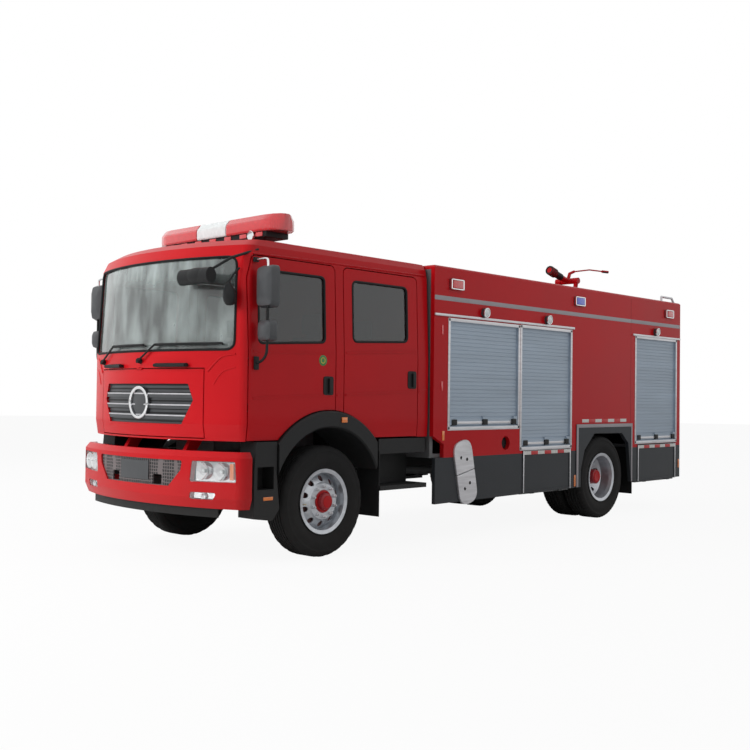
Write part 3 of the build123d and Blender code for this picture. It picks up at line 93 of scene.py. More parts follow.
def add_node(nodes, kind, values=None, **settings):
    """A shader node with values for its inputs and settings of its own."""
    made = nodes.new("ShaderNode" + kind)
    for name, value in settings.items():
        setattr(made, name, value)
    for name, value in (values or {}).items():
        made.inputs[name].default_value = value
    return made


def add_ramp(nodes, low, high, start=0.0, end=1.0):
    """A ramp from one colour to another."""
    made = nodes.new("ShaderNodeValToRGB")
    first, last = made.color_ramp.elements
    first.position, last.position = start, end
    first.color, last.color = (*low, 1), (*high, 1)
    return made


def object_axes(nodes, links):
    """The object's own coordinates, split in X, Y and Z."""
    split = nodes.new("ShaderNodeSeparateXYZ")
    links.new(nodes.new("ShaderNodeTexCoord").outputs["Object"], split.inputs["Vector"])
    return split.outputs


def add_bump(nodes, links, height, strength, distance, invert=False):
    """Raise the surface by a height."""
    bump = add_node(nodes, "Bump", {"Strength": strength, "Distance": distance}, invert=invert)
    links.new(height, bump.inputs["Height"])
    links.new(bump.outputs["Normal"], nodes["Principled BSDF"].inputs["Normal"])


def paint_over(nodes, links, share, colour):
    """Mix a colour over the base colour by a share."""
    base = nodes["Principled BSDF"].inputs["Base Color"]
    mix = add_node(nodes, "MixRGB", {"Color2": (*colour, 1)})
    links.new(base.links[0].from_socket, mix.inputs["Color1"])
    links.new(share, mix.inputs["Fac"])
    links.new(mix.outputs["Color"], base)


def mottled(name, colour, rough, metallic=0.0, scale=3.0, spread=0.12, bump=0.0, bump_scale=400.0, coat=0.0,
            dirt=0.0, specular=0.5, stretch=(1, 1, 1)):
    """A finish whose colour and gloss wander a little, with a fine surface grain and dust low down."""
    dust_colour, dust_from, dust_full = (0.20, 0.18, 0.15), 1.1, 0.3
    material, nodes, links, shader = new_material(name)
    place = add_node(nodes, "Mapping", {"Scale": stretch})
    links.new(nodes.new("ShaderNodeTexCoord").outputs["Object"], place.inputs["Vector"])
    noise = add_node(nodes, "TexNoise", {"Scale": scale, "Detail": 5})
    links.new(place.outputs["Vector"], noise.inputs["Vector"])
    ramp = add_ramp(nodes, [c * (1 - spread) for c in colour], [min(1, c * (1 + spread)) for c in colour], 0.3, 0.7)
    links.new(noise.outputs["Fac"], ramp.inputs["Fac"])
    links.new(ramp.outputs["Color"], shader.inputs["Base Color"])
    if dirt:
        low = add_node(nodes, "MapRange", {"From Min": dust_from, "From Max": dust_full, "To Max": dirt})
        links.new(object_axes(nodes, links)["Z"], low.inputs["Value"])
        paint_over(nodes, links, low.outputs["Result"], dust_colour)
    gloss = add_node(nodes, "MapRange", {"To Min": max(0.02, rough - 0.06), "To Max": rough + 0.08})
    links.new(noise.outputs["Fac"], gloss.inputs["Value"])
    links.new(gloss.outputs["Result"], shader.inputs["Roughness"])
    shader.inputs["Metallic"].default_value = metallic
    shader.inputs["Coat Weight"].default_value = coat
    shader.inputs["Coat Roughness"].default_value = 0.05
    shader.inputs["Specular IOR Level"].default_value = specular
    if bump:
        grain = add_node(nodes, "TexNoise", {"Scale": bump_scale, "Detail": 3})
        links.new(place.outputs["Vector"], grain.inputs["Vector"])
        add_bump(nodes, links, grain.outputs["Fac"], bump, 0.002)
    return material


def clear_glass(name, tint, alpha, band=None, streaks=False):
    """Thin tinted glass: see-through, glossy, with an optional darker band above a height."""
    band_alpha, band_start, band_end = 0.78, -0.02, 0.10
    material, nodes, links, shader = new_material(name)
    shader.inputs["Roughness"].default_value = 0.03
    shader.inputs["IOR"].default_value = 1.5
    shader.inputs["Coat Weight"].default_value = 1.0
    noise = add_node(nodes, "TexNoise", {"Scale": 2.2 if streaks else 1.4, "Detail": 6 if streaks else 2})
    stretched = add_node(nodes, "Mapping", {"Scale": (1, 2.2, 0.7) if streaks else (1, 1, 1)})
    links.new(nodes.new("ShaderNodeTexCoord").outputs["Object"], stretched.inputs["Vector"])
    links.new(stretched.outputs["Vector"], noise.inputs["Vector"])
    ramp = add_ramp(nodes, [c * (0.25 if streaks else 0.8) for c in tint], tint, 0.38, 0.66)
    links.new(noise.outputs["Fac"], ramp.inputs["Fac"])
    links.new(ramp.outputs["Color"], shader.inputs["Base Color"])
    if band:
        high = add_node(nodes, "MapRange", {"From Min": band + band_start, "From Max": band + band_end,
                                            "To Min": alpha, "To Max": band_alpha})
        links.new(object_axes(nodes, links)["Z"], high.inputs["Value"])
        links.new(high.outputs["Result"], shader.inputs["Alpha"])
    else:
        shader.inputs["Alpha"].default_value = alpha
    return material


def lens(name, colour, glow):
    """A ribbed plastic lens of one colour, lit a little."""
    material = mottled(name, colour, 0.12, scale=20, spread=0.08, coat=1.0)
    nodes, links = material.node_tree.nodes, material.node_tree.links
    ribs = add_node(nodes, "TexWave", {"Scale": 26})
    links.new(nodes.new("ShaderNodeTexCoord").outputs["Object"], ribs.inputs["Vector"])
    add_bump(nodes, links, ribs.outputs["Fac"], 0.4, 0.003)
    shader = nodes["Principled BSDF"]
    shader.inputs["Emission Color"].default_value = (*colour, 1)
    shader.inputs["Emission Strength"].default_value = glow
    return material


def wheel_metal(name, x, z):
    """Bright turned alloy outside, and red paint on the hub inside a radius."""
    shine, hub_radius, hub_paint = 0.8, 0.1085, (0.30, 0.008, 0.014)
    material = mottled(name, (0.50, 0.52, 0.55), 0.34, metallic=shine, scale=14, spread=0.12, bump=0.05)
    nodes, links = material.node_tree.nodes, material.node_tree.links
    axes = object_axes(nodes, links)
    flat = nodes.new("ShaderNodeCombineXYZ")
    for axis in "XZ":
        links.new(axes[axis], flat.inputs[axis])
    away = add_node(nodes, "VectorMath", {1: (x, 0, z)}, operation="DISTANCE")
    links.new(flat.outputs["Vector"], away.inputs[0])
    inside = add_node(nodes, "Math", {1: hub_radius}, operation="LESS_THAN")
    links.new(away.outputs["Value"], inside.inputs[0])
    paint_over(nodes, links, inside.outputs["Value"], hub_paint)
    outside = add_node(nodes, "Math", {1: -shine, 2: shine}, operation="MULTIPLY_ADD")
    links.new(inside.outputs["Value"], outside.inputs[0])
    links.new(outside.outputs["Value"], nodes["Principled BSDF"].inputs["Metallic"])
    return material


def frame_with_red_back(name, red, back_x):
    """Grey paint inside the equipment body, and red on its rear face."""
    material = mottled(name, (0.10, 0.102, 0.105), 0.5, scale=3, spread=0.1, bump=0.05)
    nodes, links = material.node_tree.nodes, material.node_tree.links
    behind = add_node(nodes, "Math", {1: back_x}, operation="LESS_THAN")
    links.new(object_axes(nodes, links)["X"], behind.inputs[0])
    paint_over(nodes, links, behind.outputs["Value"], red)
    return material


def honeycomb(name):
    """Expanded mesh: cells sunk into a grey-brown web, with painted shade near-black in the cells."""
    material, nodes, links, shader = new_material(name)
    cells = add_node(nodes, "TexVoronoi", feature="DISTANCE_TO_EDGE")
    cells.inputs["Scale"].default_value = 34
    cells.inputs["Randomness"].default_value = 0.15
    links.new(nodes.new("ShaderNodeTexCoord").outputs["Object"], cells.inputs["Vector"])
    # Near-black in the cells is painted shade for the grille's openings; the web is grey-brown
    ramp = add_ramp(nodes, (0.13, 0.11, 0.11), (0.008, 0.008, 0.009), 0.10, 0.16)
    links.new(cells.outputs["Distance"], ramp.inputs["Fac"])
    links.new(ramp.outputs["Color"], shader.inputs["Base Color"])
    shader.inputs["Roughness"].default_value = 0.5
    add_bump(nodes, links, cells.outputs["Distance"], 0.9, 0.006, invert=True)
    return material


finishes = {}


def make_finishes(colours):
    """Every finish of the truck, by a plain name."""
    finishes.update({
        "red": mottled("red_paint", colours.red, 0.34, coat=0.10, specular=0.12, scale=1.2, spread=0.06, bump=0.02,
                       bump_scale=60, dirt=0.06),
        "skirt": mottled("skirt_paint", colours.skirt, 0.45, scale=2, spread=0.12, bump=0.03, dirt=0.05, specular=0.3),
        "trim": mottled("black_trim", colours.trim, 0.55, scale=8, spread=0.15, bump=0.25, bump_scale=900, dirt=0.03,
                        specular=0.3),
        "frame": mottled("chassis_paint", (0.010, 0.010, 0.011), 0.6, scale=5, spread=0.3, bump=0.10, dirt=0.08,
                         specular=0.3),
        "engine": mottled("cast_metal", (0.10, 0.105, 0.11), 0.6, metallic=0.3, scale=8, spread=0.3, bump=0.4,
                          dirt=0.2),
        "shutter": mottled("shutter_slats", colours.shutter, 0.45, metallic=0.15, scale=2.0, spread=0.10, bump=0.04,
                           stretch=(0.3, 1, 6)),
        "bright": mottled("bright_aluminium", (0.58, 0.58, 0.60), 0.34, metallic=0.75, scale=10, spread=0.12,
                          bump=0.08, stretch=(0.4, 1, 4)),
        "chrome": mottled("chrome_plate", (0.78, 0.79, 0.80), 0.07, metallic=1.0, scale=4, spread=0.04),
        "grey": mottled("grey_moulding", (0.055, 0.058, 0.062), 0.42, metallic=0.2, scale=6, spread=0.1, bump=0.05),
        "stripe": mottled("grey_stripe", colours.stripe, 0.4, scale=3, spread=0.08),
        "white_film": mottled("white_film", (0.62, 0.62, 0.60), 0.35, scale=60, spread=0.12, bump=0.1),
        "red_film": mottled("red_film", (0.50, 0.012, 0.016), 0.35, scale=60, spread=0.12, bump=0.1),
        "tyre": mottled("tyre_rubber", (0.010, 0.010, 0.0105), 0.78, scale=12, spread=0.25, bump=0.3,
                        bump_scale=500, dirt=0.03, specular=0.2),
        # Black rubber, also used for the black discs of painted shade in the step plate's holes
        "rubber": mottled("black_rubber_and_shade", (0.006, 0.006, 0.0065), 0.65, scale=10, spread=0.2, bump=0.2, specular=0.3),
        "seat": mottled("seat_cloth", (0.035, 0.037, 0.045), 0.9, scale=30, spread=0.3, bump=0.6, bump_scale=1400),
        "dash": mottled("dash_plastic", (0.040, 0.040, 0.042), 0.6, scale=6, spread=0.12, bump=0.3, bump_scale=800),
        "screen": clear_glass("windscreen_glass", (0.36, 0.42, 0.41), 0.52, band=2.50, streaks=True),
        "glass": clear_glass("side_glass", (0.020, 0.026, 0.028), 0.66),
        "clear": clear_glass("lamp_cover", (0.75, 0.78, 0.80), 0.22),
        "mirror": mottled("mirror_silver", (0.80, 0.82, 0.84), 0.03, metallic=1.0, scale=2, spread=0.03),
        "red_lens": lens("red_lens", (0.50, 0.010, 0.016), 0.10),
        "blue_lens": lens("blue_lens", (0.012, 0.05, 0.50), 0.10),
        "amber_lens": lens("amber_lens", (0.70, 0.17, 0.01), 0.05),
        "white_lens": lens("white_lens", (0.62, 0.66, 0.66), 0.05),
        # Expanded mesh with painted shade in its cells
        "mesh": honeycomb("expanded_mesh_shaded_cells"),
        # The drum's dark red paint, darkened further with painted shade for the inside of the wheel
        "drum": mottled("drum_paint_and_shade", (0.05, 0.006, 0.008), 0.6, scale=12, spread=0.3, bump=0.2, dirt=0.1),
        "green": mottled("green_label", (0.03, 0.20, 0.05), 0.4, scale=20, spread=0.2),
        "yellow": mottled("yellow_label", (0.55, 0.42, 0.04), 0.4, scale=20, spread=0.2),
        "brass": mottled("brass_fitting", (0.55, 0.40, 0.16), 0.3, metallic=1.0, scale=9, spread=0.1),
        "tank": mottled("tank_paint", (0.02, 0.021, 0.023), 0.4, scale=5, spread=0.25, bump=0.06, dirt=0.2),
    })
    finishes["body_frame"] = frame_with_red_back("body_frame_paint", colours.red, axle_x - 6.90)
    finishes["front_wheel"] = wheel_metal("front_wheel_metal", axle_x, hub_z)
    finishes["rear_wheel"] = wheel_metal("rear_wheel_metal", rear_x, hub_z)


# The finish of each CAD node. A node not listed is red.
node_finishes = {
    "frame_rails": "frame", "front_axle": "frame", "rear_axle": "frame", "engine": "engine", "chassis_tanks": "tank",
    "side_steps": "trim", "cab_steps": "trim", "bumper_grille": "mesh", "headlamps": "clear",
    "body_frame": "body_frame", "shutters": "shutter", "body_trim": "bright", "skirts": "skirt", "body_lamps": "grey",
    "rear_ladder": "bright", "rear_bumper": "frame", "mud_flaps": "rubber", "windscreen": "screen",
    "cab_trim": "trim", "seats": "seat", "dashboard": "dash", "light_bar": "red_lens", "wheel_flares": "trim",
    "front_grille": "grey", "glass_front_left": "glass", "glass_front_right": "glass", "glass_rear_left": "glass",
    "glass_rear_right": "glass", "mirror_front_left": "trim", "mirror_front_right": "trim",
    "knuckle_left": "frame", "knuckle_right": "frame", "tyre_front_left": "tyre", "tyre_front_right": "tyre",
    "tyre_rear_left": "tyre", "tyre_rear_right": "tyre", "rim_front_left": "front_wheel",
    "rim_front_right": "front_wheel", "rim_rear_left": "rear_wheel", "rim_rear_right": "rear_wheel",
    "step_front_left": "skirt", "step_front_right": "skirt", "step_rear_left": "skirt", "step_rear_right": "skirt",
}


# Mesh helpers

def finished(name, mesh, body, finish, smooth=True):
    """A piece from a finished bmesh: named, painted, and riding on its body."""
    data = bpy.data.meshes.new(name)
    mesh.to_mesh(data)
    mesh.free()
    piece = bpy.data.objects.new(name, data)
    bpy.context.collection.objects.link(piece)
    data.materials.append(finishes[finish])
    if smooth:
        data.shade_smooth()
        data.set_sharp_from_angle(angle=radians(35))
    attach(piece, body)
    return piece


def add_block(mesh, low, high, edge=0.003, turn=None, segments=2):
    """A box with rounded edges between two corners, turned about its middle if asked."""
    low, high = Vector([min(a, b) for a, b in zip(low, high)]), Vector([max(a, b) for a, b in zip(low, high)])
    made = bmesh.ops.create_cube(mesh, size=1.0)["verts"]
    size = high - low
    bmesh.ops.scale(mesh, vec=size, verts=made)
    edge = min(edge, min(size) * 0.45)
    if edge > 0:
        edges = list({e for v in made for e in v.link_edges})
        bevelled = bmesh.ops.bevel(mesh, geom=edges, offset=edge, segments=segments, profile=0.7, affect="EDGES")
        made = {v for f in bevelled["faces"] for v in f.verts}
        made = list({v for start in made for f in start.link_faces for v in f.verts})
    if turn is not None:
        bmesh.ops.rotate(mesh, cent=(0, 0, 0), matrix=turn, verts=made)
    bmesh.ops.translate(mesh, vec=(low + high) / 2, verts=made)


def blocks(name, rows, body, finish, edge=0.003):
    """Rounded boxes joined in one piece. Each row is a low corner and a high corner."""
    mesh = bmesh.new()
    for low, high in rows:
        add_block(mesh, low, high, edge)
    return finished(name, mesh, body, finish)


def side_blocks(name, side, rows, body, finish, edge=0.003):
    """Rounded boxes on one side of the truck. Each row is a low and a high corner, with x from the front axle."""
    corners = [((axle_x + x0, side * y0, z0), (axle_x + x1, side * y1, z1)) for x0, y0, z0, x1, y1, z1 in rows]
    return blocks(name, corners, body, finish, edge)


def add_turned(mesh, origin, axis, profile, count=32):
    """A shape turned about an axis. The profile's columns are distance along the axis and radius."""
    axis = Vector(axis).normalized()
    across = axis.orthogonal().normalized()
    third = axis.cross(across)
    rings = []
    for along, radius in profile:
        centre = Vector(origin) + axis * along
        if radius < 1e-6:
            rings.append([mesh.verts.new(centre)])
            continue
        rings.append([mesh.verts.new(centre + (across * cos(t) + third * sin(t)) * radius)
                      for t in (2 * pi * i / count for i in range(count))])
    for a, b in zip(rings, rings[1:]):
        for i in range(count):
            j = (i + 1) % count
            if len(a) == 1 and len(b) == 1:
                continue
            if len(a) == 1:
                mesh.faces.new((a[0], b[i], b[j]))
            elif len(b) == 1:
                mesh.faces.new((a[i], b[0], a[j]))
            else:
                mesh.faces.new((a[i], b[i], b[j], a[j]))
    bmesh.ops.recalc_face_normals(mesh, faces=mesh.faces)


def turned(name, rows, body, finish, smooth=True):
    """Turned shapes joined in one piece. Each row is an origin, an axis, a profile and a count of sides."""
    mesh = bmesh.new()
    for row in rows:
        add_turned(mesh, *row)
    return finished(name, mesh, body, finish, smooth)


def around_hub(x, y, radius, count, offset=0.0):
    """Places on a circle about a wheel's hub."""
    angles = [2 * pi * (i + offset) / count for i in range(count)]
    return [(x + radius * cos(t), y, hub_z + radius * sin(t)) for t in angles]


def join_rings(mesh, rings, loop=False):
    """Faces between rings of points, with the last joined to the first or both ends closed."""
    for a, b in zip(rings, rings[1:] + (rings[:1] if loop else [])):
        for i in range(len(a)):
            j = (i + 1) % len(a)
            mesh.faces.new((a[i], a[j], b[j], b[i]))
    if not loop:
        mesh.faces.new(rings[0])
        mesh.faces.new(rings[-1])
    bmesh.ops.recalc_face_normals(mesh, faces=mesh.faces)


def add_outline(mesh, points, out, depth, edge=0.002):
    """A flat plate from a closed outline of 3-D points, thickened outwards, with a small bevel."""
    out = Vector(out)
    low = [mesh.verts.new(Vector(p)) for p in points]
    high = [mesh.verts.new(Vector(p) + out * depth) for p in points]
    count = len(points)
    faces = [mesh.faces.new(low), mesh.faces.new(high)]
    for i in range(count):
        faces.append(mesh.faces.new((low[i], low[(i + 1) % count], high[(i + 1) % count], high[i])))
    bmesh.ops.recalc_face_normals(mesh, faces=faces)
    if edge:
        bmesh.ops.bevel(mesh, geom=list(faces[1].edges), offset=min(edge, depth * 0.5), segments=2, affect="EDGES")


def tube(name, points, radius, body, finish, smooth=True, closed=False):
    """A bent round bar through points."""
    data = bpy.data.curves.new(name, "CURVE")
    data.dimensions = "3D"
    data.bevel_depth = radius
    data.bevel_resolution = 4
    data.use_fill_caps = True
    line = data.splines.new("NURBS" if smooth else "POLY")
    line.points.add(len(points) - 1)
    for point, place in zip(line.points, points):
        point.co = (*place, 1)
    line.use_cyclic_u = closed
    if smooth:
        line.use_endpoint_u = not closed
        line.order_u = 3
        data.resolution_u = 8
    piece = bpy.data.objects.new(name, data)
    bpy.context.collection.objects.link(piece)
    data.materials.append(finishes[finish])
    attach(piece, body)
    return piece


def rounded_outline(points, radius, steps=6):
    """Corners of a flat outline rounded to arcs. Points are 2-D."""
    result = []
    count = len(points)
    for i, point in enumerate(points):
        before, here, after = (Vector(points[i - 1]), Vector(point), Vector(points[(i + 1) % count]))
        into, away = (before - here).normalized(), (after - here).normalized()
        cut = min(radius, (before - here).length / 2.1, (after - here).length / 2.1)
        start, end = here + into * cut, here + away * cut
        for step in range(steps + 1):
            t = step / steps
            result.append(tuple((1 - t) ** 2 * start + 2 * t * (1 - t) * here + t ** 2 * end))
    return result


# Places on the cab. Its front is an arc in plan, and its flanks lean in above the belt.
cab_half = 1.193
cab_corner = axle_x + 1.010
cab_bow = 0.280


def front_x(y, z=1.5):
    """How far forward the cab's bowed front stands."""
    rows = [(1.105, 0.008, -0.020, 0.280), (1.25, 0, 0, 0.280), (1.90, 0, 0, 0.275), (2.74, 0.032, -0.035, 0.255),
            (2.835, 0.052, -0.075, 0.250), (2.895, 0.095, -0.17, 0.240), (2.917, 0.19, -0.33, 0.22)]
    for low, high in zip(rows, rows[1:]):
        if z <= high[0] or high is rows[-1]:
            t = min(1, max(0, (z - low[0]) / (high[0] - low[0])))
            inset, shift, bow = [low[i] + t * (high[i] - low[i]) for i in (1, 2, 3)]
            break
    half = cab_half - inset
    radius = (half ** 2 + bow ** 2) / (2 * bow)
    return cab_corner + shift + bow - radius + sqrt(max(0, radius ** 2 - y ** 2))


def flank_y(z):
    """The cab's half width at a height."""
    rows = [(1.105, 1.185), (1.25, 1.193), (1.90, 1.193), (2.74, 1.161), (2.835, 1.141), (2.895, 1.098)]
    for (z0, y0), (z1, y1) in zip(rows, rows[1:]):
        if z <= z1:
            return y0 + max(0, z - z0) / (z1 - z0) * (y1 - y0)
    return 1.1


def grille_half(z):
    """Half the grille's width at a height."""
    rows = [(1.244, 0.570), (1.460, 0.696), (1.606, 0.636)]
    for (z0, y0), (z1, y1) in zip(rows, rows[1:]):
        if z <= z1:
            return y0 + (z - z0) / (z1 - z0) * (y1 - y0)
    return rows[-1][1]


def bumper_x(y, z=0):
    """How far forward the bumper's upright face stands, at any height."""
    half, bow = 1.262, 0.255
    radius = (half ** 2 + bow ** 2) / (2 * bow)
    return axle_x + 1.340 - radius + sqrt(max(0, radius ** 2 - y ** 2))


def add_bent_plate(mesh, outline, lift, depth, surface=front_x):
    """A plate that follows the bowed front: its outline is a row of (y, low z, high z)."""
    low, high, low_out, high_out = (
        [mesh.verts.new((surface(row[0], row[edge]) + away, row[0], row[edge])) for row in outline]
        for edge, away in ((1, lift), (2, lift), (1, lift + depth), (2, lift + depth)))
    for i in range(len(outline) - 1):
        mesh.faces.new((low[i], low[i + 1], high[i + 1], high[i]))
        mesh.faces.new((low_out[i], high_out[i], high_out[i + 1], low_out[i + 1]))
        mesh.faces.new((high[i], high[i + 1], high_out[i + 1], high_out[i]))
        mesh.faces.new((low[i], low_out[i], low_out[i + 1], low[i + 1]))
    for i in (0, -1):
        mesh.faces.new((low[i], high[i], high_out[i], low_out[i]))
    bmesh.ops.recalc_face_normals(mesh, faces=mesh.faces)


def bent(name, rows, body, finish):
    """Bent plates joined in one piece. Each row is an outline, a lift, a depth and, off the cab, a surface."""
    mesh = bmesh.new()
    for row in rows:
        add_bent_plate(mesh, *row)
    return finished(name, mesh, body, finish)


def spread(low, high, count):
    """Evenly spaced numbers from low to high."""
    return [low + (high - low) * i / (count - 1) for i in range(count)]


class TRUCK_OT_finishes(bpy.types.Operator):
    """Give every CAD node its finish"""

    bl_idname = "truck.finishes"
    bl_label = "Finishes"

    def execute(self, context):
        make_finishes(context.scene.truck_colours)
        for name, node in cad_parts.items():
            for slot in node.material_slots:
                slot.material = finishes[node_finishes.get(name, "red")]
        return {"FINISHED"}


class TRUCK_OT_tyres(bpy.types.Operator):
    """Treaded tyres in place of the plain ones"""

    bl_idname = "truck.tyres"
    bl_label = "Tyres"

    def execute(self, context):
        depth = context.scene.truck_sizes.tread_depth
        tread_radius, lug_cut, shoulder_cut = 0.522, 0.010, 0.004
        # Half profile of the tyre: columns are distance from its middle plane and radius.
        wall = [(0.104, 0.2863), (0.112, 0.294), (0.119, 0.310), (0.122, 0.316), (0.120, 0.322), (0.133, 0.352),
                (0.1405, 0.385), (0.1425, 0.410), (0.1395, 0.440), (0.1365, 0.462), (0.139, 0.468), (0.136, 0.476),
                (0.130, 0.492), (0.118, 0.509), (0.106, 0.517), (0.094, 0.5215)]
        for end, x, centres, steps, grooves in (("front", axle_x, [1.014], 120, (0.082, 0.050, 0.017)),
                                                ("rear", rear_x, [1.094, 0.772], 240, (0.066, 0.022))):
            half = list(wall)
            for groove in grooves:
                half += [(groove + 0.006, tread_radius), (groove + 0.004, tread_radius - depth),
                         (groove - 0.004, tread_radius - depth), (groove - 0.006, tread_radius)]
            profile = half + [(-u, v) for u, v in reversed(half)]
            for side, hand in hands:
                mesh = bmesh.new()
                for centre in centres:
                    rings = []
                    for step in range(steps):
                        angle = 2 * pi * step / steps
                        rings.append([])
                        for u, v in profile:
                            drop = 0
                            if end == "rear" and step % 4 in (0, 1) and abs(u) > 0.068 and v > 0.500:
                                drop = lug_cut
                            if end == "front" and step % 4 == 0 and 0.088 < abs(u) < 0.120 and v > 0.508:
                                drop = shoulder_cut
                            rings[-1].append(mesh.verts.new((x + (v - drop) * cos(angle), side * centre + u,
                                                             hub_z + (v - drop) * sin(angle))))
                    join_rings(mesh, rings, loop=True)
                tyre = finished(f"treaded_tyre_{end}_{hand}", mesh, f"wheel_{end}_{hand}", "tyre")
                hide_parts(f"tyre_{end}_{hand}")
        return {"FINISHED"}


class TRUCK_OT_wheel_fittings(bpy.types.Operator):
    """Wheel nuts, hub rings and valves"""

    bl_idname = "truck.wheel_fittings"
    bl_label = "Wheel fittings"

    def execute(self, context):
        count = context.scene.truck_sizes.nut_count
        nut_circle, stud_circle = 0.1425, 0.064
        nut = [(0, 0), (0, 0.019), (0.004, 0.019), (0.0045, 0.0165), (0.022, 0.0165), (0.025, 0.0125),
               (0.030, 0.0125), (0.030, 0.009), (0.040, 0.0085), (0.041, 0)]
        stud = [(0, 0.007), (0.005, 0.007), (0.006, 0.005), (0.006, 0)]
        front_ring = [(0, 0.098), (0.006, 0.098), (0.009, 0.094), (0.009, 0.086), (0, 0.084)]
        front_cap = [(0, 0.0), (0, 0.056), (0.004, 0.054), (0.007, 0.040), (0.0075, 0)]
        rear_cap = [(0, 0.0), (0, 0.076), (0.004, 0.074), (0.006, 0.060), (0.003, 0.050), (0.003, 0)]
        drum = [(0, 0.112), (0.004, 0.116), (0.010, 0.150), (0.010, 0.232), (0.004, 0.240), (0, 0.240), (0, 0.112)]
        for end, x, face_y, drum_y, valve_y in (("front", axle_x, 1.132, 1.062, 1.132),
                                                ("rear", rear_x, 0.947, 0.902, 1.007)):
            for side, hand in hands:
                body, out = f"wheel_{end}_{hand}", (0, side, 0)
                nuts = around_hub(x, side * face_y, nut_circle, count, 0.5)
                turned(f"wheel_nuts_{end}_{hand}", [(place, out, nut, 6) for place in nuts], body, "bright",
                       smooth=False)
                if end == "front":
                    rows = [((x, side * 1.1325, hub_z), out, front_ring, 40),
                            ((x, side * 1.1895, hub_z), out, front_cap, 32)]
                else:
                    rows = [((x, side * 1.1585, hub_z), out, rear_cap, 32)]
                    rows += [(place, out, stud, 6) for place in around_hub(x, side * 1.163, stud_circle, 8)]
                turned(f"hub_ring_{end}_{hand}", rows, body, "red")
                # Disc of the drum seen through the hand holes: dark red paint darkened with painted shade
                turned(f"drum_face_{end}_{hand}", [((x, side * drum_y, hub_z), out, drum, 48)], body, "drum")
                path = [(x + 0.245, side * (valve_y - 0.055), hub_z - 0.02),
                        (x + 0.232, side * (valve_y - 0.02), hub_z - 0.02), (x + 0.215, side * valve_y, hub_z - 0.018)]
                tube(f"valve_{end}_{hand}", path, 0.004, body, "brass")
        return {"FINISHED"}


class TRUCK_OT_front(bpy.types.Operator):
    """Grille, badge ring, windscreen edge, corner creases and front panel details"""

    bl_idname = "truck.front"
    bl_label = "Cab front"

    def execute(self, context):
        panel, badge_z = "cab_front_panel", 1.432
        rows = []
        for low in spread(1.262, 1.59, 10):
            width = grille_half(low + 0.006) - 0.004
            rows.append(([(y, low, low + 0.013) for y in spread(-width, width, 21)], -0.020, 0.006))
        bent("grille_ribs", rows, panel, "trim")
        rows = []
        for high in (1.326, 1.421, 1.521):
            width = grille_half(high) - 0.006
            rows.append(([(y, high - 0.012, high) for y in spread(-width, width, 17)], -0.0042, 0.004))
        bent("grille_edges", rows, panel, "bright")
        ring_x = front_x(0) + 0.010
        turned("badge_ring", [((ring_x, 0, badge_z), (1, 0, 0),
                               [(-0.012, 0.152), (0.002, 0.152), (0.008, 0.146), (0.010, 0.137), (0.008, 0.128),
                                (0.002, 0.122), (-0.012, 0.121)], 48)], panel, "chrome")
        turned("badge_disc", [((ring_x - 0.020, 0, badge_z), (1, 0, 0),
                               [(0, 0.121), (0.004, 0.118), (0.006, 0.10), (0.012, 0.05), (0.013, 0)], 40)],
               panel, "grey")
        # Windscreen seal round the glass
        path = rounded_outline([(-1.090, 1.907), (-1.062, 2.727), (1.062, 2.727), (1.090, 1.907)], 0.085, 6)
        dense = []
        for (y0, z0), (y1, z1) in zip(path, path[1:] + path[:1]):
            count = max(1, int(abs(y1 - y0) / 0.12))
            for step in range(count):
                y, z = y0 + step / count * (y1 - y0), z0 + step / count * (z1 - z0)
                dense.append((front_x(y, z) + 0.001, y, z))
        tube("windscreen_seal", dense, 0.011, "cab", "rubber", smooth=False, closed=True)
        for side, hand in hands:
            for name, sink, radius, points in (
                    ("corner_crease", 0.002, 0.010,
                     ((0.84, 1.715), (0.90, 1.78), (0.97, 1.845), (1.04, 1.862), (1.10, 1.868))),
                    ("corner_lower_crease", 0.003, 0.008, ((0.90, 1.60), (0.95, 1.69), (1.02, 1.735), (1.10, 1.75)))):
                path = [(front_x(y, z) - sink, side * y, z) for y, z in points]
                tube(f"{name}_{hand}", path, radius, "cab", "red")
        bent("grab_handle_covers", [([(y, 1.755, 1.79) for y in spread(y0, y1, 7)], 0.026, 0.016)
                                    for y0, y1 in ((-0.60, -0.30), (0.27, 0.65))], "cab", "trim")
        # Pressed lines across the top and the foot of the front panel
        foot = [(y, 1.196 + 0.04 * min(1, (0.62 - abs(y)) / 0.12)) for y in spread(-0.60, 0.60, 25)]
        bent("front_panel_lines", [([(y, 1.716, 1.722) for y in spread(-0.77, 0.77, 25)], -0.001, 0.003),
                                   ([(y, z, z + 0.006) for y, z in foot], -0.001, 0.003)], panel, "red")
        return {"FINISHED"}


class TRUCK_OT_wipers(bpy.types.Operator):
    """Wiper blades and arms over the CAD ones"""

    bl_idname = "truck.wipers"
    bl_label = "Wipers"

    def execute(self, context):
        mesh = bmesh.new()
        for pivot, near, far in ((-0.77, -0.47, 0.09), (0.01, 0.25, 1.0)):
            add_bent_plate(mesh, [(y, 1.948, 1.958) for y in spread(near, far, 13)], 0.004, 0.028)
            add_turned(mesh, (front_x(pivot) - 0.01, pivot, 1.812), (1, 0, 0.25),
                       [(0, 0.026), (0.03, 0.026), (0.045, 0.020), (0.055, 0.012), (0.056, 0)], 24)
        finished("wiper_rubbers", mesh, "cab", "rubber")
        return {"FINISHED"}


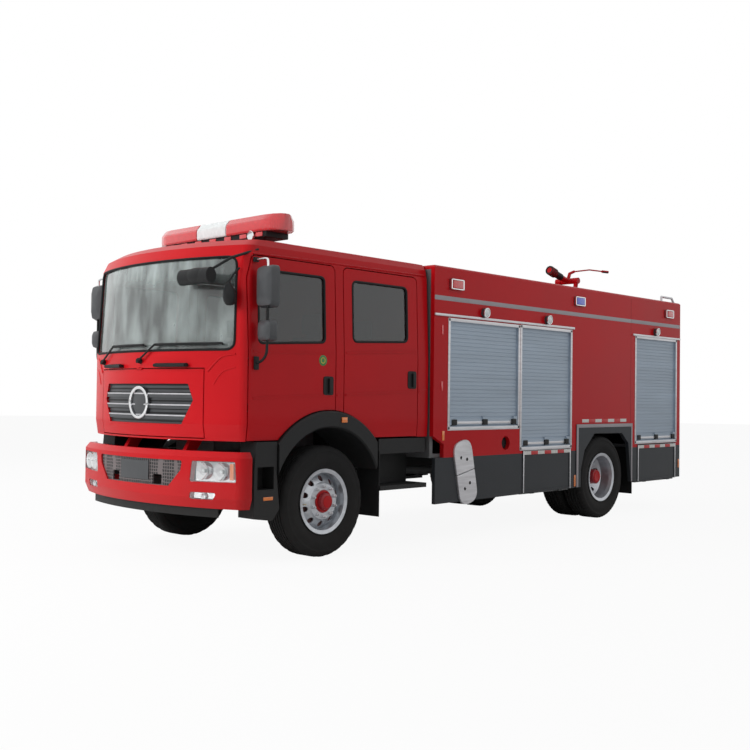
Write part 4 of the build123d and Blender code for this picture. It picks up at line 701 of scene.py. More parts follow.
class TRUCK_OT_mirrors(bpy.types.Operator):
    """Mirror heads with rounded backs and silvered glass"""

    bl_idname = "truck.mirrors"
    bl_label = "Mirrors"

    def execute(self, context):
        rod_x, rod_y, head_y = axle_x + 0.905, 1.345, 1.328
        for side, hand in hands:
            body, y = f"door_front_{hand}", side * head_y
            mesh = bmesh.new()
            for low_z, high_z, half_y, deep in ((2.270, 2.640, 0.108, 0.065), (1.980, 2.165, 0.090, 0.055)):
                middle, half_z = (low_z + high_z) / 2, (high_z - low_z) / 2
                outline = rounded_outline([(-half_y, -half_z), (-half_y, half_z), (half_y, half_z), (half_y, -half_z)],
                                          0.05, 6)
                rings = []
                for along, shrink in ((-0.042, 0.93), (-0.040, 1.0), (-0.01, 1.0), (0.02, 0.90), (0.038, 0.62),
                                      (0.043, 0.25)):
                    rings.append([mesh.verts.new((rod_x + along * deep / 0.045, y + a * shrink, middle + b * shrink))
                                  for a, b in outline])
                join_rings(mesh, rings)
            heads = finished(f"mirror_heads_{hand}", mesh, body, "grey")
            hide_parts(f"mirror_front_{hand}")
            mesh = bmesh.new()
            for low_z, high_z, half_y, back in ((2.286, 2.624, 0.095, 0.0607), (1.994, 2.151, 0.077, 0.0513)):
                outline = rounded_outline([(-half_y, low_z), (-half_y, high_z), (half_y, high_z), (half_y, low_z)],
                                          0.042, 6)
                add_outline(mesh, [(rod_x - back, y + a, b) for a, b in outline], (-1, 0, 0), 0.002, 0)
            finished(f"mirror_glass_{hand}", mesh, body, "mirror")
            # Bent bars: columns are name, radius, finish and the path's points in y and z
            for name, radius, finish, points in (
                    ("bracket", 0.0125, "trim", ((1.198, 1.790), (1.27, 1.800), (1.338, 1.86), (rod_y, 1.93),
                                                 (rod_y, 2.10), (rod_y, 2.30))),
                    ("hoop", 0.0105, "chrome", ((rod_y, 2.56), (rod_y, 2.68), (1.33, 2.70), (1.22, 2.70),
                                                (1.172, 2.70)))):
                tube(f"mirror_{name}_{hand}", [(rod_x, side * a, b) for a, b in points], radius, body, finish)
            side_blocks(f"mirror_feet_{hand}", side, [(0.881, 1.1935, 1.732, 0.929, 1.218, 1.85),
                                                      (0.877, 1.166, 2.678, 0.929, 1.196, 2.722)],
                        body, "trim", 0.010)
        mesh = bmesh.new()
        x, y, z = axle_x + 1.262, 0.800, 2.548
        rings = []
        for along, shrink in ((-0.205, 0.05), (-0.20, 0.22), (-0.17, 0.48), (-0.12, 0.74), (-0.05, 0.96), (0.02, 1.0),
                              (0.09, 0.93), (0.14, 0.76), (0.18, 0.46), (0.20, 0.05)):
            rings.append([mesh.verts.new((x + 0.060 * shrink * cos(t), y + along, z + 0.073 * shrink * sin(t)))
                          for t in (2 * pi * i / 24 for i in range(24))])
        join_rings(mesh, rings)
        finished("look_down_mirror", mesh, "cab", "trim")
        turned("kerb_mirror", [((axle_x + 1.115, 1.095, 2.285), (0.12, 0, 1),
                                [(0, 0), (0.004, 0.030), (0.03, 0.052), (0.08, 0.060), (0.13, 0.052), (0.175, 0.030),
                                 (0.20, 0.012), (0.205, 0)], 20)], "cab", "trim")
        path = [(axle_x + 1.14, 1.095, 2.48), (axle_x + 1.10, 1.10, 2.56), (axle_x + 1.03, 1.11, 2.62)]
        tube("kerb_mirror_arm", path, 0.009, "cab", "trim")
        return {"FINISHED"}


class TRUCK_OT_doors(bpy.types.Operator):
    """Door handles, window rubbers and pressed lines"""

    bl_idname = "truck.doors"
    bl_label = "Doors"

    def execute(self, context):
        door_y, pressed_y, line_half = 1.193, 1.1925, 0.012
        for side, hand in hands:
            out = (0, side, 0)
            for end, low_x, high_x, low_z, high_z in (("front", -0.055, 0.080, 1.515, 1.695),
                                                      ("rear", -1.245, -1.110, 1.595, 1.775)):
                y, left, right = side * door_y, axle_x + low_x, axle_x + high_x
                mesh = bmesh.new()
                outline = rounded_outline([(left, low_z), (left, high_z), (right, high_z), (right, low_z)], 0.03, 5)
                add_outline(mesh, [(a, y - side * 0.001, b) for a, b in outline], out, 0.007, 0.004)
                add_block(mesh, (left + 0.035, y + side * 0.006, low_z + 0.02),
                          (left + 0.072, y + side * 0.026, high_z - 0.02), 0.008)
                finished(f"door_handle_{end}_{hand}", mesh, f"door_{end}_{hand}", "trim")
            for end, corners, radius in (
                    ("front", [(0.865, 1.968), (0.865, 2.520), (0.840, 2.622), (0.055, 2.622), (0.055, 2.010)], 0.05),
                    ("rear", [(-0.320, 2.035), (-0.320, 2.622), (-1.110, 2.622), (-1.110, 2.070)], 0.06)):
                outline = rounded_outline([(axle_x + a, b) for a, b in corners], radius, 6)
                tube(f"window_rubber_{end}_{hand}", [(a, side * (flank_y(b) - 0.003), b) for a, b in outline], 0.012,
                     f"door_{end}_{hand}", "rubber", smooth=False, closed=True)
            # Pressed lines: columns are name, body, front x, front z, rear x, rear z
            for name, body, x0, z0, x1, z1 in (("belt_front", f"door_front_{hand}", 0.93, 1.895, -0.06, 1.915),
                                               ("belt_rear", f"door_rear_{hand}", -0.22, 1.925, -1.245, 1.975),
                                               ("lower_front", f"door_front_{hand}", 0.93, 1.484, -0.06, 1.520),
                                               ("lower_rear", f"door_rear_{hand}", -0.22, 1.525, -1.245, 1.568),
                                               ("lower_pillar", "cab", -0.10, 1.521, -0.18, 1.524),
                                               ("lower_corner", "cab", -1.285, 1.570, -1.42, 1.580)):
                mesh = bmesh.new()
                corners = ((x0, z0 - line_half), (x0, z0 + line_half), (x1, z1 + line_half), (x1, z1 - line_half))
                add_outline(mesh, [(axle_x + a, side * pressed_y, b) for a, b in corners], out, 0.006, 0.003)
                finished(f"{name}_line_{hand}", mesh, body, "red")
            # Drip rail over the doors
            path = [(axle_x + x, side * (flank_y(2.765) + 0.002), z) for x, z in
                    ((0.93, 2.755), (0.5, 2.765), (-0.2, 2.768), (-1.0, 2.772), (-1.40, 2.775))]
            tube(f"drip_rail_{hand}", path, 0.009, "cab", "red")
        for name, y, profile, count, finish in (
                ("round_label", 1.1925, [(0, 0.050), (0.001, 0.050), (0.0015, 0.049), (0.0015, 0)], 32, "green"),
                ("round_label_middle", 1.1942, [(0, 0.030), (0.0008, 0.030), (0.001, 0.022), (0.0005, 0.021)], 24,
                 "yellow")):
            turned(name, [((axle_x + 0.085, y, 1.842), (0, 1, 0), profile, count)], "door_front_left", finish)
        return {"FINISHED"}


class TRUCK_OT_bumper(bpy.types.Operator):
    """Headlamp bowls, fog lamps, plate and valance"""

    bl_idname = "truck.bumper"
    bl_label = "Bumper"

    def execute(self, context):
        lamp_radius = 0.074
        mesh, white, amber = bmesh.new(), bmesh.new(), bmesh.new()
        for side, hand in hands:
            out = (1, side * 0.1, 0)
            for y, z in ((0.86, 0.845), (1.04, 0.842)):
                x = bumper_x(y) - 0.012
                add_turned(mesh, (x - 0.030, side * y, z), out,
                           [(0, 0.012), (0.002, 0.035), (0.012, 0.058), (0.026, lamp_radius),
                            (0.030, lamp_radius + 0.004)], 28)
                add_turned(white, (x - 0.024, side * y, z), out,
                           [(0, 0.016), (0.014, 0.016), (0.019, 0.010), (0.020, 0)], 16)
            add_turned(mesh, (bumper_x(0.87) - 0.035, side * 0.87, 0.622), out,
                       [(0, 0.006), (0.004, 0.018), (0.016, 0.026), (0.018, 0.029)], 24)
            # Plates: columns are mesh, low y, high y, count, low z, high z, lift and depth
            for plate, y0, y1, count, z0, z1, lift, depth in ((amber, 1.13, 1.165, 3, 0.775, 0.915, -0.022, 0.006),
                                                              (mesh, 0.75, 0.985, 9, 0.604, 0.652, -0.040, 0.004),
                                                              (mesh, 0.77, 1.165, 13, 0.755, 0.925, -0.044, 0.004)):
                add_bent_plate(plate, [(side * y, z0, z1) for y in spread(y0, y1, count)], lift, depth, bumper_x)
        finished("lamp_bowls", mesh, "chassis", "chrome")
        finished("lamp_bulbs", white, "chassis", "white_lens")
        finished("turn_lamps", amber, "chassis", "amber_lens")
        bent("blank_plate", [([(y, 0.735, 0.905) for y in spread(-0.22, 0.22, 9)], -0.010, 0.006, bumper_x)],
             "chassis", "grey")
        bent("valance", [([(y, 0.440, 0.520) for y in spread(-0.98, 0.98, 21)], -0.075, 0.012, bumper_x)],
             "chassis", "trim")
        return {"FINISHED"}


class TRUCK_OT_body_details(bpy.types.Operator):
    """Stripes, reflective film, lamps, shutter frames, latches and panel borders"""

    bl_idname = "truck.body_details"
    bl_label = "Body details"

    def execute(self, context):
        skin, film_face = 1.2495, 1.2515
        for side, hand in hands:
            # Reflective film: columns are place, body, low x, high x, low z, high z, inner y and outer y
            films = (("body", "chassis", -5.41, -4.33, 1.222, 1.262, skin, film_face),
                     ("front", f"step_front_{hand}", -4.05, -3.08, 0.862, 0.902, 1.2575, 1.2592),
                     ("rear", f"step_rear_{hand}", -6.76, -5.73, 0.862, 0.902, 1.2575, 1.2592))
            for first, kind in enumerate(("white_film", "red_film")):
                for place, body, low_x, high_x, low_z, high_z, inner, outer in films:
                    step = (high_x - low_x) / 7
                    tiles = [(low_x + i * step, inner, low_z, low_x + (i + 1) * step - 0.002, outer, high_z)
                             for i in range(first, 7, 2)]
                    side_blocks(f"{kind}_{place}_{hand}", side, tiles, body, kind, 0.0004)
            side_blocks(f"side_stripe_{hand}", side, [(-5.518, skin, 2.532, -1.46, film_face, 2.580),
                                                      (-6.90, skin, 2.532, -5.524, film_face, 2.580)],
                        "chassis", "stripe", 0.0006)
            # Shutters: columns are front x, rear x, low z and high z
            frames, latches, bars = [], [], []
            for a, b, c, d in ((-1.690, -2.985, 1.175, 2.350), (-3.000, -4.085, 0.925, 2.355),
                               (-5.635, -6.810, 0.935, 2.365)):
                for x0, z0, x1, z1 in ((b - 0.004, c - 0.004, b + 0.030, d), (a - 0.030, c - 0.004, a + 0.004, d),
                                       (b, d - 0.030, a, d + 0.004), (b, c - 0.012, a, c + 0.026)):
                    frames.append((x0, 1.249, z0, x1, 1.255, z1))
                a, b, c = a - 0.032, b + 0.032, c + 0.032
                for x in (a - 0.075, (a + b) / 2, b + 0.075):
                    latches.append((x - 0.042, 1.243, c + 0.010, x + 0.042, 1.262, c + 0.072))
                bars.append((b + 0.01, 1.242, c + 0.022, a - 0.01, 1.249, c + 0.050))
            side_blocks(f"shutter_frames_{hand}", side, frames, "chassis", "bright", 0.002)
            side_blocks(f"shutter_latches_{hand}", side, latches, "chassis", "trim", 0.006)
            side_blocks(f"shutter_bars_{hand}", side, bars, "chassis", "bright", 0.003)
            side_blocks(f"arch_border_{hand}", side, [(-5.558, 1.256, 1.158, -4.194, 1.2615, 1.200),
                                                      (-4.236, 1.256, 0.430, -4.194, 1.2615, 1.160),
                                                      (-5.558, 1.256, 0.430, -5.530, 1.2615, 1.160)],
                        "chassis", "stripe", 0.002)
            for end, a, b in (("front", -3.062, -4.062), ("rear", -5.712, -6.772)):
                side_blocks(f"step_border_{end}_{hand}", side, [(b, 1.257, 0.427, b + 0.020, 1.260, 0.906),
                                                                (a - 0.020, 1.257, 0.427, a, 1.260, 0.906),
                                                                (b, 1.257, 0.905, a, 1.260, 0.9075)],
                            f"step_{end}_{hand}", "bright", 0.001)
            # Flash lamps: columns are name, middle x, middle z, half width, half height, finish
            for name, x, z, half_x, half_z, finish in (("front_flash", -1.805, 2.712, 0.082, 0.042, "red_lens"),
                                                       ("middle_flash", -4.230, 2.718, 0.082, 0.042, "blue_lens"),
                                                       ("rear_flash", -6.555, 2.716, 0.072, 0.040, "red_lens")):
                side_blocks(f"{name}_{hand}", side, [(x - half_x, 1.272, z - half_z, x + half_x, 1.290, z + half_z)],
                            "chassis", finish, 0.008)
                x0, x1, z0, z1 = x - 0.108, x + 0.108, z - 0.056, z + 0.056
                strips = [(x0, z0, x1, z0 + 0.012), (x0, z1 - 0.012, x1, z1), (x0, z0, x0 + 0.018, z1),
                          (x1 - 0.018, z0, x1, z1)]
                side_blocks(f"{name}_bezel_{hand}", side, [(a, 1.262, b, c, 1.284, d) for a, b, c, d in strips],
                            "chassis", "chrome", 0.004)
            down = (0, side, -0.1)
            for name, y, profile, finish, slot in (
                    ("glass", 1.294, [(0, 0.044), (0.004, 0.042), (0.009, 0.028), (0.010, 0)], "white_lens",
                     "lamp_glass"),
                    ("rims", 1.290, [(0, 0.054), (0.012, 0.054), (0.014, 0.050), (0.012, 0.044), (0.004, 0.043)],
                     "chrome", "bright")):
                turned(f"work_lamp_{name}_{hand}", [((axle_x + x, side * y, 2.445), down, profile, 28)
                                                    for x in (-2.300, -3.530, -6.180)], "chassis", finish)
            side_blocks(f"side_reflectors_{hand}", side, [(-1.635, skin, 1.06, -1.600, 1.256, 1.16),
                                                          (-4.185, skin, 0.44, -4.150, 1.256, 0.58),
                                                          (-6.895, skin, 0.56, -6.860, 1.256, 0.68)],
                        "chassis", "amber_lens", 0.003)
            rails = side_blocks(f"body_rails_{hand}", side, [(-4.127, skin, 2.366, -1.455, 1.266, 2.392),
                                                             (-6.900, skin, 2.366, -5.566, 1.266, 2.392)],
                                "chassis", "bright", 0.005)
            if side > 0:
                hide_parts("body_trim")
            self.step_plate(side, hand)
            # Small blocks: columns are name, rows, body, finish, slot and edge
            for name, rows, body, finish, slot, edge in (
                    ("filler_cap", [(-2.79, 1.19, 0.95, -2.67, 1.205, 1.065)], "chassis", "rubber", "black_plastic",
                     0.01),
                    ("side_marker", [(-1.60, skin, z, -1.575, 1.256, z + 0.10) for z in (1.58, 2.17)],
                     "chassis", "red_lens", "lamp_red", 0.004),
                    ("flare_lamp", [(-0.205, 1.227, 1.262, -0.135, 1.238, 1.312)], "cab", "amber_lens", "lamp_red",
                     0.006),
                    ("step_reflector", [(0.70, 1.2115, 0.585, 0.81, 1.217, 0.615)], "cab", "amber_lens", "lamp_red",
                     0.003)):
                side_blocks(f"{name}_{hand}", side, rows, body, finish, edge)
        blocks("body_seams", [((axle_x - 5.5225, side * 1.2492, 1.21), (axle_x - 5.5195, side * 1.2507, 2.85))
                              for side, hand in hands], "chassis", "rubber", 0.0005)
        return {"FINISHED"}

    def step_plate(self, side, hand):
        """Two-part oval step plate, leaning forwards, with tread dimples and black discs of painted shade where its
        holes are.
        """
        lean, half_wide, half_tall, out = radians(78), 0.155, 0.345, (0, side, 0)
        up, across = Vector((cos(lean), 0, sin(lean))), Vector((sin(lean), 0, -cos(lean)))
        middle = Vector((axle_x - 1.985, 0, 0.715))
        mesh, dimples, holes = bmesh.new(), bmesh.new(), bmesh.new()
        for part in (1, -1):
            outline = [(-half_wide, 0.004), (half_wide, 0.004), (half_wide, half_tall), (-half_wide, half_tall)]
            rounded = []
            for a, b in rounded_outline(outline, 0.14, 10):
                if b < 0.12:
                    a, b = (half_wide if a > 0 else -half_wide), (0.004 if b < 0.03 else b)
                rounded.append(middle + across * a + up * b * part + Vector((0, side * 1.2495, 0)))
            clean = [q for k, q in enumerate(rounded) if (q - rounded[k - 1]).length > 0.001]
            add_outline(mesh, clean, out, 0.022, 0.004)
            for row in range(5):
                for column in range(4):
                    a, b = -0.105 + column * 0.07, 0.045 + row * 0.058
                    if b > 0.22 and abs(a) > 0.08:
                        continue
                    spot = middle + across * a + up * b * part
                    add_turned(dimples, (spot.x, side * 1.2712, spot.z), out,
                               [(0, 0.009), (0.0016, 0.007), (0.002, 0)], 8)
            # Black discs in the rubber finish: painted shade for the plate's holes
            for a, b in ((-0.045, 0.13), (0.05, 0.17)):
                spot = middle + across * a + up * b * part
                add_turned(holes, (spot.x, side * 1.2713, spot.z), out, [(0, 0.019), (0.0012, 0.018), (0.0008, 0)], 16)
        finished(f"step_plate_{hand}", mesh, "chassis", "bright")
        finished(f"step_plate_dimples_{hand}", dimples, "chassis", "bright", smooth=False)
        finished(f"step_plate_hole_shades_{hand}", holes, "chassis", "rubber")


class TRUCK_OT_light_bar(bpy.types.Operator):
    """The faceted light bar: red ends, clear middle and dark base"""

    bl_idname = "truck.light_bar"
    bl_label = "Light bar"

    def execute(self, context):
        x, half, deep = axle_x + 0.325, 0.955, 0.168
        # Plan of one end: columns are distance from the bar's middle and share of its depth.
        plan = [(0.0, 1.0), (half - 0.21, 1.0), (half - 0.10, 0.86), (half - 0.03, 0.58), (half, 0.22)]
        # Section: columns are height and share of the depth there.
        section = [(3.052, 0.97), (3.075, 1.0), (3.150, 1.0), (3.212, 0.70)]
        loop = [(z, grow) for z, grow in section] + [(z, -grow) for z, grow in reversed(section)]
        for name, low, high, finish in (("right", -half, -0.232, "red_lens"), ("middle", -0.230, 0.230, "white_lens"),
                                        ("left", 0.232, half, "red_lens")):
            mesh = bmesh.new()
            rings = []
            for y in sorted({low, high, *[s * y for y, share in plan for s in (1, -1) if y and low < s * y < high]}):
                for (y0, s0), (y1, s1) in zip(plan, plan[1:]):
                    if y0 <= abs(y) <= y1:
                        share = s0 + (s1 - s0) * (abs(y) - y0) / (y1 - y0)
                rings.append([mesh.verts.new((x + deep * share * grow,
                                              y * (0.985 if z > 3.2 and abs(y) > half - 0.11 else 1), z))
                              for z, grow in loop])
            join_rings(mesh, rings)
            sharp = [e for e in mesh.edges if e.calc_face_angle(0) > 0.4]
            bmesh.ops.bevel(mesh, geom=sharp, offset=0.006, segments=2, affect="EDGES")
            finished(f"light_bar_{name}", mesh, "cab", finish)
        base = blocks("light_bar_base", [((x - 0.140, -0.80, 2.996), (x + 0.140, 0.80, 3.053))], "cab", "trim",
                      0.012)
        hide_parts("light_bar")
        blocks("light_bar_feet", [((x - 0.088, y - 0.038, 2.918), (x + 0.088, y + 0.038, 2.998))
                                  for y in (-0.52, 0.52)], "cab", "bright", 0.006)
        blocks("light_bar_side_lamps", [((x + 0.138, y - 0.05, 3.006), (x + 0.146, y + 0.05, 3.046))
                                        for y in spread(-0.70, 0.70, 7)], "cab", "red_lens", 0.003)
        turned("siren_horn", [((x + 0.145, 0.60, 3.020), (1, 0, -0.1),
                               [(0, 0.045), (0.020, 0.048), (0.026, 0.042), (0.022, 0.030), (0.027, 0)], 28)],
               "cab", "chrome")
        return {"FINISHED"}


class TRUCK_OT_seats(bpy.types.Operator):
    """Crowned seat cushions and backs in place of the plain ones"""

    bl_idname = "truck.seats"
    bl_label = "Seats"

    def execute(self, context):
        crown_height, channel_depth, fullness = 0.006, 0.004, 0.8
        first = None
        for name, x, y, half, depth, places in (("driver", axle_x - 0.060, -0.600, 0.250, 0.500, 1),
                                                ("passenger", axle_x - 0.060, 0.600, 0.250, 0.500, 1),
                                                ("crew", axle_x - 1.040, 0.0, 1.000, 0.460, 4)):
            rear, front = x - depth / 2, x + depth / 2
            for part, low, high in (
                    ("cushion", (rear + 0.045, y - half, 1.655), (front, y + half, 1.756)),
                    ("back", (rear - 0.066, y - half, 1.775), (rear + 0.036, y + half, 2.10)),
                    ("head", (rear - 0.058, y - half * 0.5, 2.13), (rear + 0.020, y + half * 0.5, 2.325))):
                width = (high[1] - low[1]) / places
                for place in range(places):
                    a = Vector((low[0], low[1] + place * width + 0.004, low[2]))
                    b = Vector((high[0], low[1] + (place + 1) * width - 0.004, high[2]))
                    mesh = bmesh.new()
                    add_block(mesh, a, b, 0.030, segments=3)
                    bmesh.ops.subdivide_edges(mesh, edges=mesh.edges[:], cuts=3, use_grid_fill=True)
                    centre, size = (a + b) / 2, b - a
                    thin = min(range(3), key=lambda i: size[i])
                    for v in mesh.verts:
                        away = [abs(v.co[i] - centre[i]) / (size[i] / 2) for i in range(3) if i != thin]
                        crown = crown_height * max(0, 1 - max(away) ** 3)
                        channel = channel_depth * (1 - min(1, abs(away[-1] - 0.55) / 0.05))
                        v.co[thin] += (1 if v.co[thin] > centre[thin] else -0.2) * (crown - channel)
                    cushion = finished(f"{name}_{part}_{place + 1}", mesh, "cab", "seat")
                    smoother = cushion.modifiers.new("soften", "SUBSURF")
                    smoother.levels = smoother.render_levels = 1
                    first = first or cushion
            blocks(f"{name}_pedestal", [((rear + 0.065, y - half + 0.06, 1.302),
                                         (front - 0.065, y + half - 0.06, 1.640))],
                   "cab", "dash", 0.02)
        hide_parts("seats")
        return {"FINISHED"}


class TRUCK_OT_cab_inside(bpy.types.Operator):
    """Instrument panels and the steering wheel's boss"""

    bl_idname = "truck.cab_inside"
    bl_label = "Cab inside"

    def execute(self, context):
        edge = axle_x + 0.61
        blocks("dash_panels", [((edge - 0.004, -0.80, 1.60), (edge + 0.05, -0.40, 1.72)),
                               ((edge - 0.002, -0.28, 1.55), (edge + 0.05, 0.05, 1.72)),
                               ((edge + 0.002, 0.35, 1.60), (edge + 0.05, 0.80, 1.70))],
               "cab", "trim", 0.008)
        hub, normal = Vector((axle_x + 0.450, -0.600, 1.860)), Vector((-0.31, 0, 0.30)).normalized()
        turned("wheel_boss", [(hub - normal * 0.01, normal,
                               [(0, 0.05), (0.012, 0.062), (0.030, 0.055), (0.038, 0.035), (0.040, 0)], 28)],
               "cab", "trim")
        return {"FINISHED"}


class TRUCK_OT_roof(bpy.types.Operator):
    """Monitor grips, nozzle ribs, roof walkway and ladder treads"""

    bl_idname = "truck.roof"
    bl_label = "Roof equipment"

    def execute(self, context):
        pivot = Vector((axle_x - 5.925, 0, 3.205))
        along = Vector((0.465, 0, 0.119)).normalized()
        start = pivot + Vector((0.175, 0, 0.0450))
        middle = pivot + Vector((0.338, 0, 0.0868)) - start
        rows = [(pivot + Vector((0.335, 0, 0.0855)) + along * 0.022 * step, along,
                 [(0, 0.062), (0.002, 0.066), (0.010, 0.066), (0.012, 0.062)], 32) for step in range(6)]
        rows += [(start + middle * (step / 7), middle.normalized(),
                  [(0, 0.043), (0.001, 0.048), (0.016, 0.049), (0.018, 0.0455), (0.025, 0.0455)], 28)
                 for step in range(7)]
        rows.append((pivot + Vector((0.465, 0, 0.119)), along,
                     [(0, 0.060), (0.004, 0.062), (0.004, 0.040), (-0.02, 0.034), (-0.02, 0)], 32))
        turned("nozzle_ribs", rows, "monitor_tilt", "trim")
        turned("lever_grip", [(pivot + Vector((-0.590, 0.215, 0.1845)), (-0.1, 0.04, -0.0035),
                               [(0, 0), (0, 0.0188), (0.004, 0.0192), (0.050, 0.0190), (0.100, 0.0192),
                                (0.105, 0.0175), (0.106, 0)], 20)], "monitor_tilt", "rubber")
        angles = [2 * pi * i / 8 for i in range(8)]
        turned("monitor_bolts", [((pivot.x + 0.105 * cos(t), 0.105 * sin(t), 2.916), (0, 0, 1),
                                  [(0, 0.011), (0.009, 0.011), (0.011, 0.008), (0.011, 0)], 6) for t in angles],
               "chassis", "bright", smooth=False)
        mesh = bmesh.new()
        for i in range(34):
            for j in range(7):
                x, y = axle_x - 5.55 + i * 0.10, -0.33 + j * 0.11
                turn = Matrix.Rotation(radians(45 if (i + j) % 2 else -45), 3, "Z")
                add_block(mesh, (x - 0.022, y - 0.004, 2.8962), (x + 0.022, y + 0.004, 2.8985), 0.0008, turn, 1)
        finished("roof_walkway", mesh, "chassis", "bright", smooth=False)
        ladder_x = -4.181
        blocks("ladder_treads", [((ladder_x - 0.014, 0.715, 0.853 + step * 0.300),
                                  (ladder_x + 0.014, 1.065, 0.857 + step * 0.300)) for step in range(7)],
               "chassis", "bright", 0.001)
        return {"FINISHED"}


class TRUCK_OT_rear(bpy.types.Operator):
    """Tail lamps, rear film, plate and shutter frame"""

    bl_idname = "truck.rear"
    bl_label = "Rear"

    def execute(self, context):
        back, bar_x = axle_x - 6.916, -4.202
        for side, hand in hands:
            for name, low_z, high_z, finish in (("stop", 1.05, 1.125, "red_lens"), ("turn", 0.98, 1.045, "amber_lens"),
                                                ("reverse", 0.91, 0.975, "white_lens")):
                blocks(f"{name}_lamp_{hand}", [((back - 0.052, side * 1.005, low_z),
                                                (back - 0.039, side * 1.165, high_z))],
                       "chassis", finish, 0.005)
        # Shutter frame: columns are low y, low z, high y, high z
        strips = ((-0.904, 1.206, -0.870, 2.365), (0.470, 1.206, 0.504, 2.365), (-0.900, 2.335, 0.500, 2.369),
                  (-0.900, 1.198, 0.500, 1.236))
        blocks("rear_shutter_frame", [((back - 0.005, a, b), (back + 0.001, c, d)) for a, b, c, d in strips],
               "chassis", "bright", 0.002)
        blocks("rear_latches", [((back - 0.012, y - 0.042, 1.252), (back + 0.007, y + 0.042, 1.314))
                                for y in (-0.79, -0.2, 0.39)], "chassis", "trim", 0.006)
        blocks("rear_plate", [((bar_x + 0.002, -0.26, 0.450), (bar_x + 0.006, 0.26, 0.560))], "chassis", "white_film",
               0.001)
        for kind, first in (("red_film", 1), ("white_film", 0)):
            blocks(f"rear_{kind}", [((back - 0.002, -1.15 + i * 0.18, 2.62), (back + 0.0005, -0.972 + i * 0.18, 2.67))
                                    for i in range(first, 10, 2)], "chassis", kind, 0.0005)
        return {"FINISHED"}


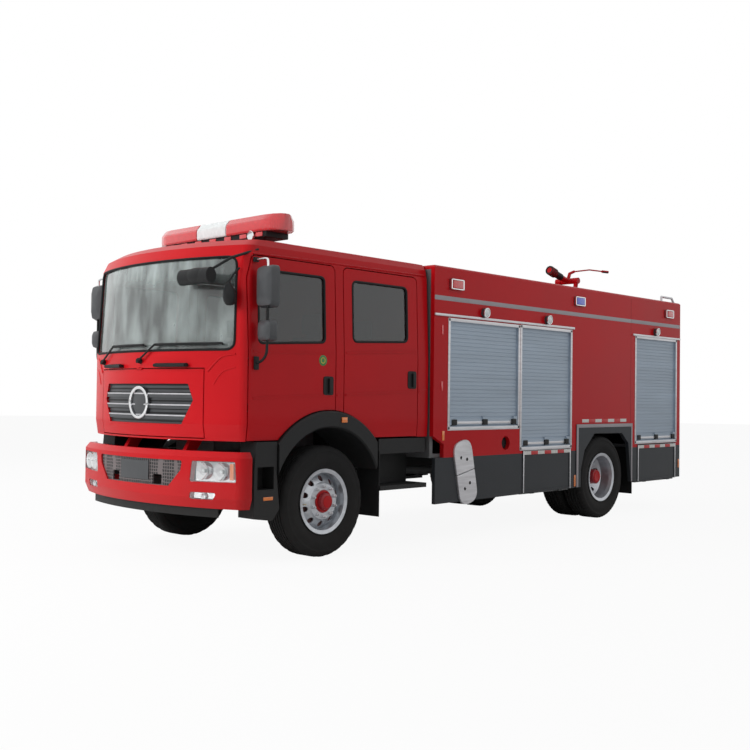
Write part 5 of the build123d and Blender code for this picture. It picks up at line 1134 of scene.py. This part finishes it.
class TRUCK_OT_stage(bpy.types.Operator):
    """Floor, soft light and the camera at the photograph's angle"""

    bl_idname = "truck.stage"
    bl_label = "Stage"

    def execute(self, context):
        scene = context.scene
        yaw, pitch, roll = radians(223.174), radians(1.224), radians(0.694)
        ahead = Vector((cos(yaw) * cos(pitch), sin(yaw) * cos(pitch), sin(pitch)))
        right = ahead.cross(Vector((0, 0, 1))).normalized()
        up = right.cross(ahead)
        right, up = right * cos(roll) + up * sin(roll), up * cos(roll) - right * sin(roll)
        data = bpy.data.cameras.new("camera")
        data.sensor_width, data.sensor_fit, data.lens, data.clip_end = 36, "HORIZONTAL", 49.32, 200
        camera = bpy.data.objects.new("camera", data)
        camera.matrix_world = Matrix((
            (right.x, up.x, -ahead.x, axle_x + 6.736), (right.y, up.y, -ahead.y, 8.099),
            (right.z, up.z, -ahead.z, 1.508), (0, 0, 0, 1)))
        context.collection.objects.link(camera)
        scene.camera = camera
        scene.view_settings.view_transform = "Standard"
        if scene.truck_sizes.show_floor:
            self.lay_floor(context)
        world = bpy.data.worlds.new("studio")
        scene.world = world
        world.use_nodes = True
        nodes, links = world.node_tree.nodes, world.node_tree.links
        nodes["Background"].inputs["Color"].default_value = (1, 1, 1, 1)
        # White for the camera, for reflections and through glass, and dimmer as a light
        path = nodes.new("ShaderNodeLightPath")
        seen = path.outputs["Is Camera Ray"]
        for ray in ("Is Transmission Ray", "Is Glossy Ray"):
            either = add_node(nodes, "Math", operation="MAXIMUM")
            links.new(seen, either.inputs[0])
            links.new(path.outputs[ray], either.inputs[1])
            seen = either.outputs["Value"]
        level = add_node(nodes, "MapRange", {"To Min": 0.36, "To Max": 1.0})
        links.new(seen, level.inputs["Value"])
        links.new(level.outputs["Result"], nodes["Background"].inputs["Strength"])
        # Lamps: columns are place, aim, width, height, power
        for place, aim, width, height, power in (((13, -2, 6), (2, 0, 1.5), 8, 5, 1050),
                                                 ((-1, 10, 10), (-1, 0, 1), 10, 6, 240),
                                                 ((2, -9, 9), (0, 0, 1), 9, 6, 300)):
            data = bpy.data.lights.new("soft_lamp", "AREA")
            data.shape = "RECTANGLE"
            data.size, data.size_y, data.energy = width, height, power
            lamp = bpy.data.objects.new("soft_lamp", data)
            lamp.location = place
            lamp.visible_glossy = False
            lamp.rotation_euler = (Vector(aim) - Vector(place)).to_track_quat("-Z", "Y").to_euler()
            context.collection.objects.link(lamp)
        return {"FINISHED"}

    def lay_floor(self, context):
        """A pale round floor that shows nearly white and keeps the truck's shadow."""
        white_share = 0.92
        mesh = bmesh.new()
        bmesh.ops.create_circle(mesh, cap_ends=True, segments=64, radius=60)
        data = bpy.data.meshes.new("floor")
        mesh.to_mesh(data)
        mesh.free()
        floor = bpy.data.objects.new("floor", data)
        floor.location.z = -0.001
        context.collection.objects.link(floor)
        material, nodes, links, shader = new_material("pale_floor")
        noise = add_node(nodes, "TexNoise", {"Scale": 0.8})
        ramp = add_ramp(nodes, (0.80, 0.80, 0.80), (0.86, 0.86, 0.86))
        links.new(noise.outputs["Fac"], ramp.inputs["Fac"])
        links.new(ramp.outputs["Color"], shader.inputs["Base Color"])
        shader.inputs["Roughness"].default_value = 0.85
        bright = add_node(nodes, "Emission", {"Color": (1, 1, 1, 1), "Strength": 1.0})
        path = nodes.new("ShaderNodeLightPath")
        share = add_node(nodes, "MapRange", {"To Max": white_share})
        blend = nodes.new("ShaderNodeMixShader")
        links.new(path.outputs["Is Camera Ray"], share.inputs["Value"])
        links.new(share.outputs["Result"], blend.inputs["Fac"])
        links.new(shader.outputs["BSDF"], blend.inputs[1])
        links.new(bright.outputs["Emission"], blend.inputs[2])
        links.new(blend.outputs["Shader"], nodes["Material Output"].inputs["Surface"])
        data.materials.append(material)


class TRUCK_PT_panel(bpy.types.Panel):
    """Buttons for each group of pieces"""

    bl_idname = "TRUCK_PT_panel"
    bl_label = "Fire Truck"
    bl_space_type = "VIEW_3D"
    bl_region_type = "UI"
    bl_category = "Fire Truck"

    def draw(self, context):
        for group in (context.scene.truck_colours, context.scene.truck_sizes):
            for name in group.__annotations__:
                self.layout.prop(group, name)
        for operator in operators:
            self.layout.operator(operator.bl_idname)


operators = (TRUCK_OT_finishes, TRUCK_OT_tyres, TRUCK_OT_wheel_fittings, TRUCK_OT_front, TRUCK_OT_wipers,
             TRUCK_OT_mirrors, TRUCK_OT_doors, TRUCK_OT_bumper, TRUCK_OT_body_details, TRUCK_OT_light_bar,
             TRUCK_OT_seats, TRUCK_OT_cab_inside, TRUCK_OT_roof, TRUCK_OT_rear, TRUCK_OT_stage)
classes = (TruckColours, TruckSizes, *operators, TRUCK_PT_panel)


def register():
    """Register the add-on's classes and settings."""
    for item in classes:
        bpy.utils.register_class(item)
    bpy.types.Scene.truck_colours = PointerProperty(type=TruckColours)
    bpy.types.Scene.truck_sizes = PointerProperty(type=TruckSizes)


def unregister():
    """Remove the add-on's classes and settings."""
    del bpy.types.Scene.truck_sizes
    del bpy.types.Scene.truck_colours
    for item in reversed(classes):
        bpy.utils.unregister_class(item)


def main():
    """Build every piece in order."""
    register()
    for operator in operators:
        group, name = operator.bl_idname.split(".")
        getattr(getattr(bpy.ops, group), name)()


if __name__ == "__main__":
    main()
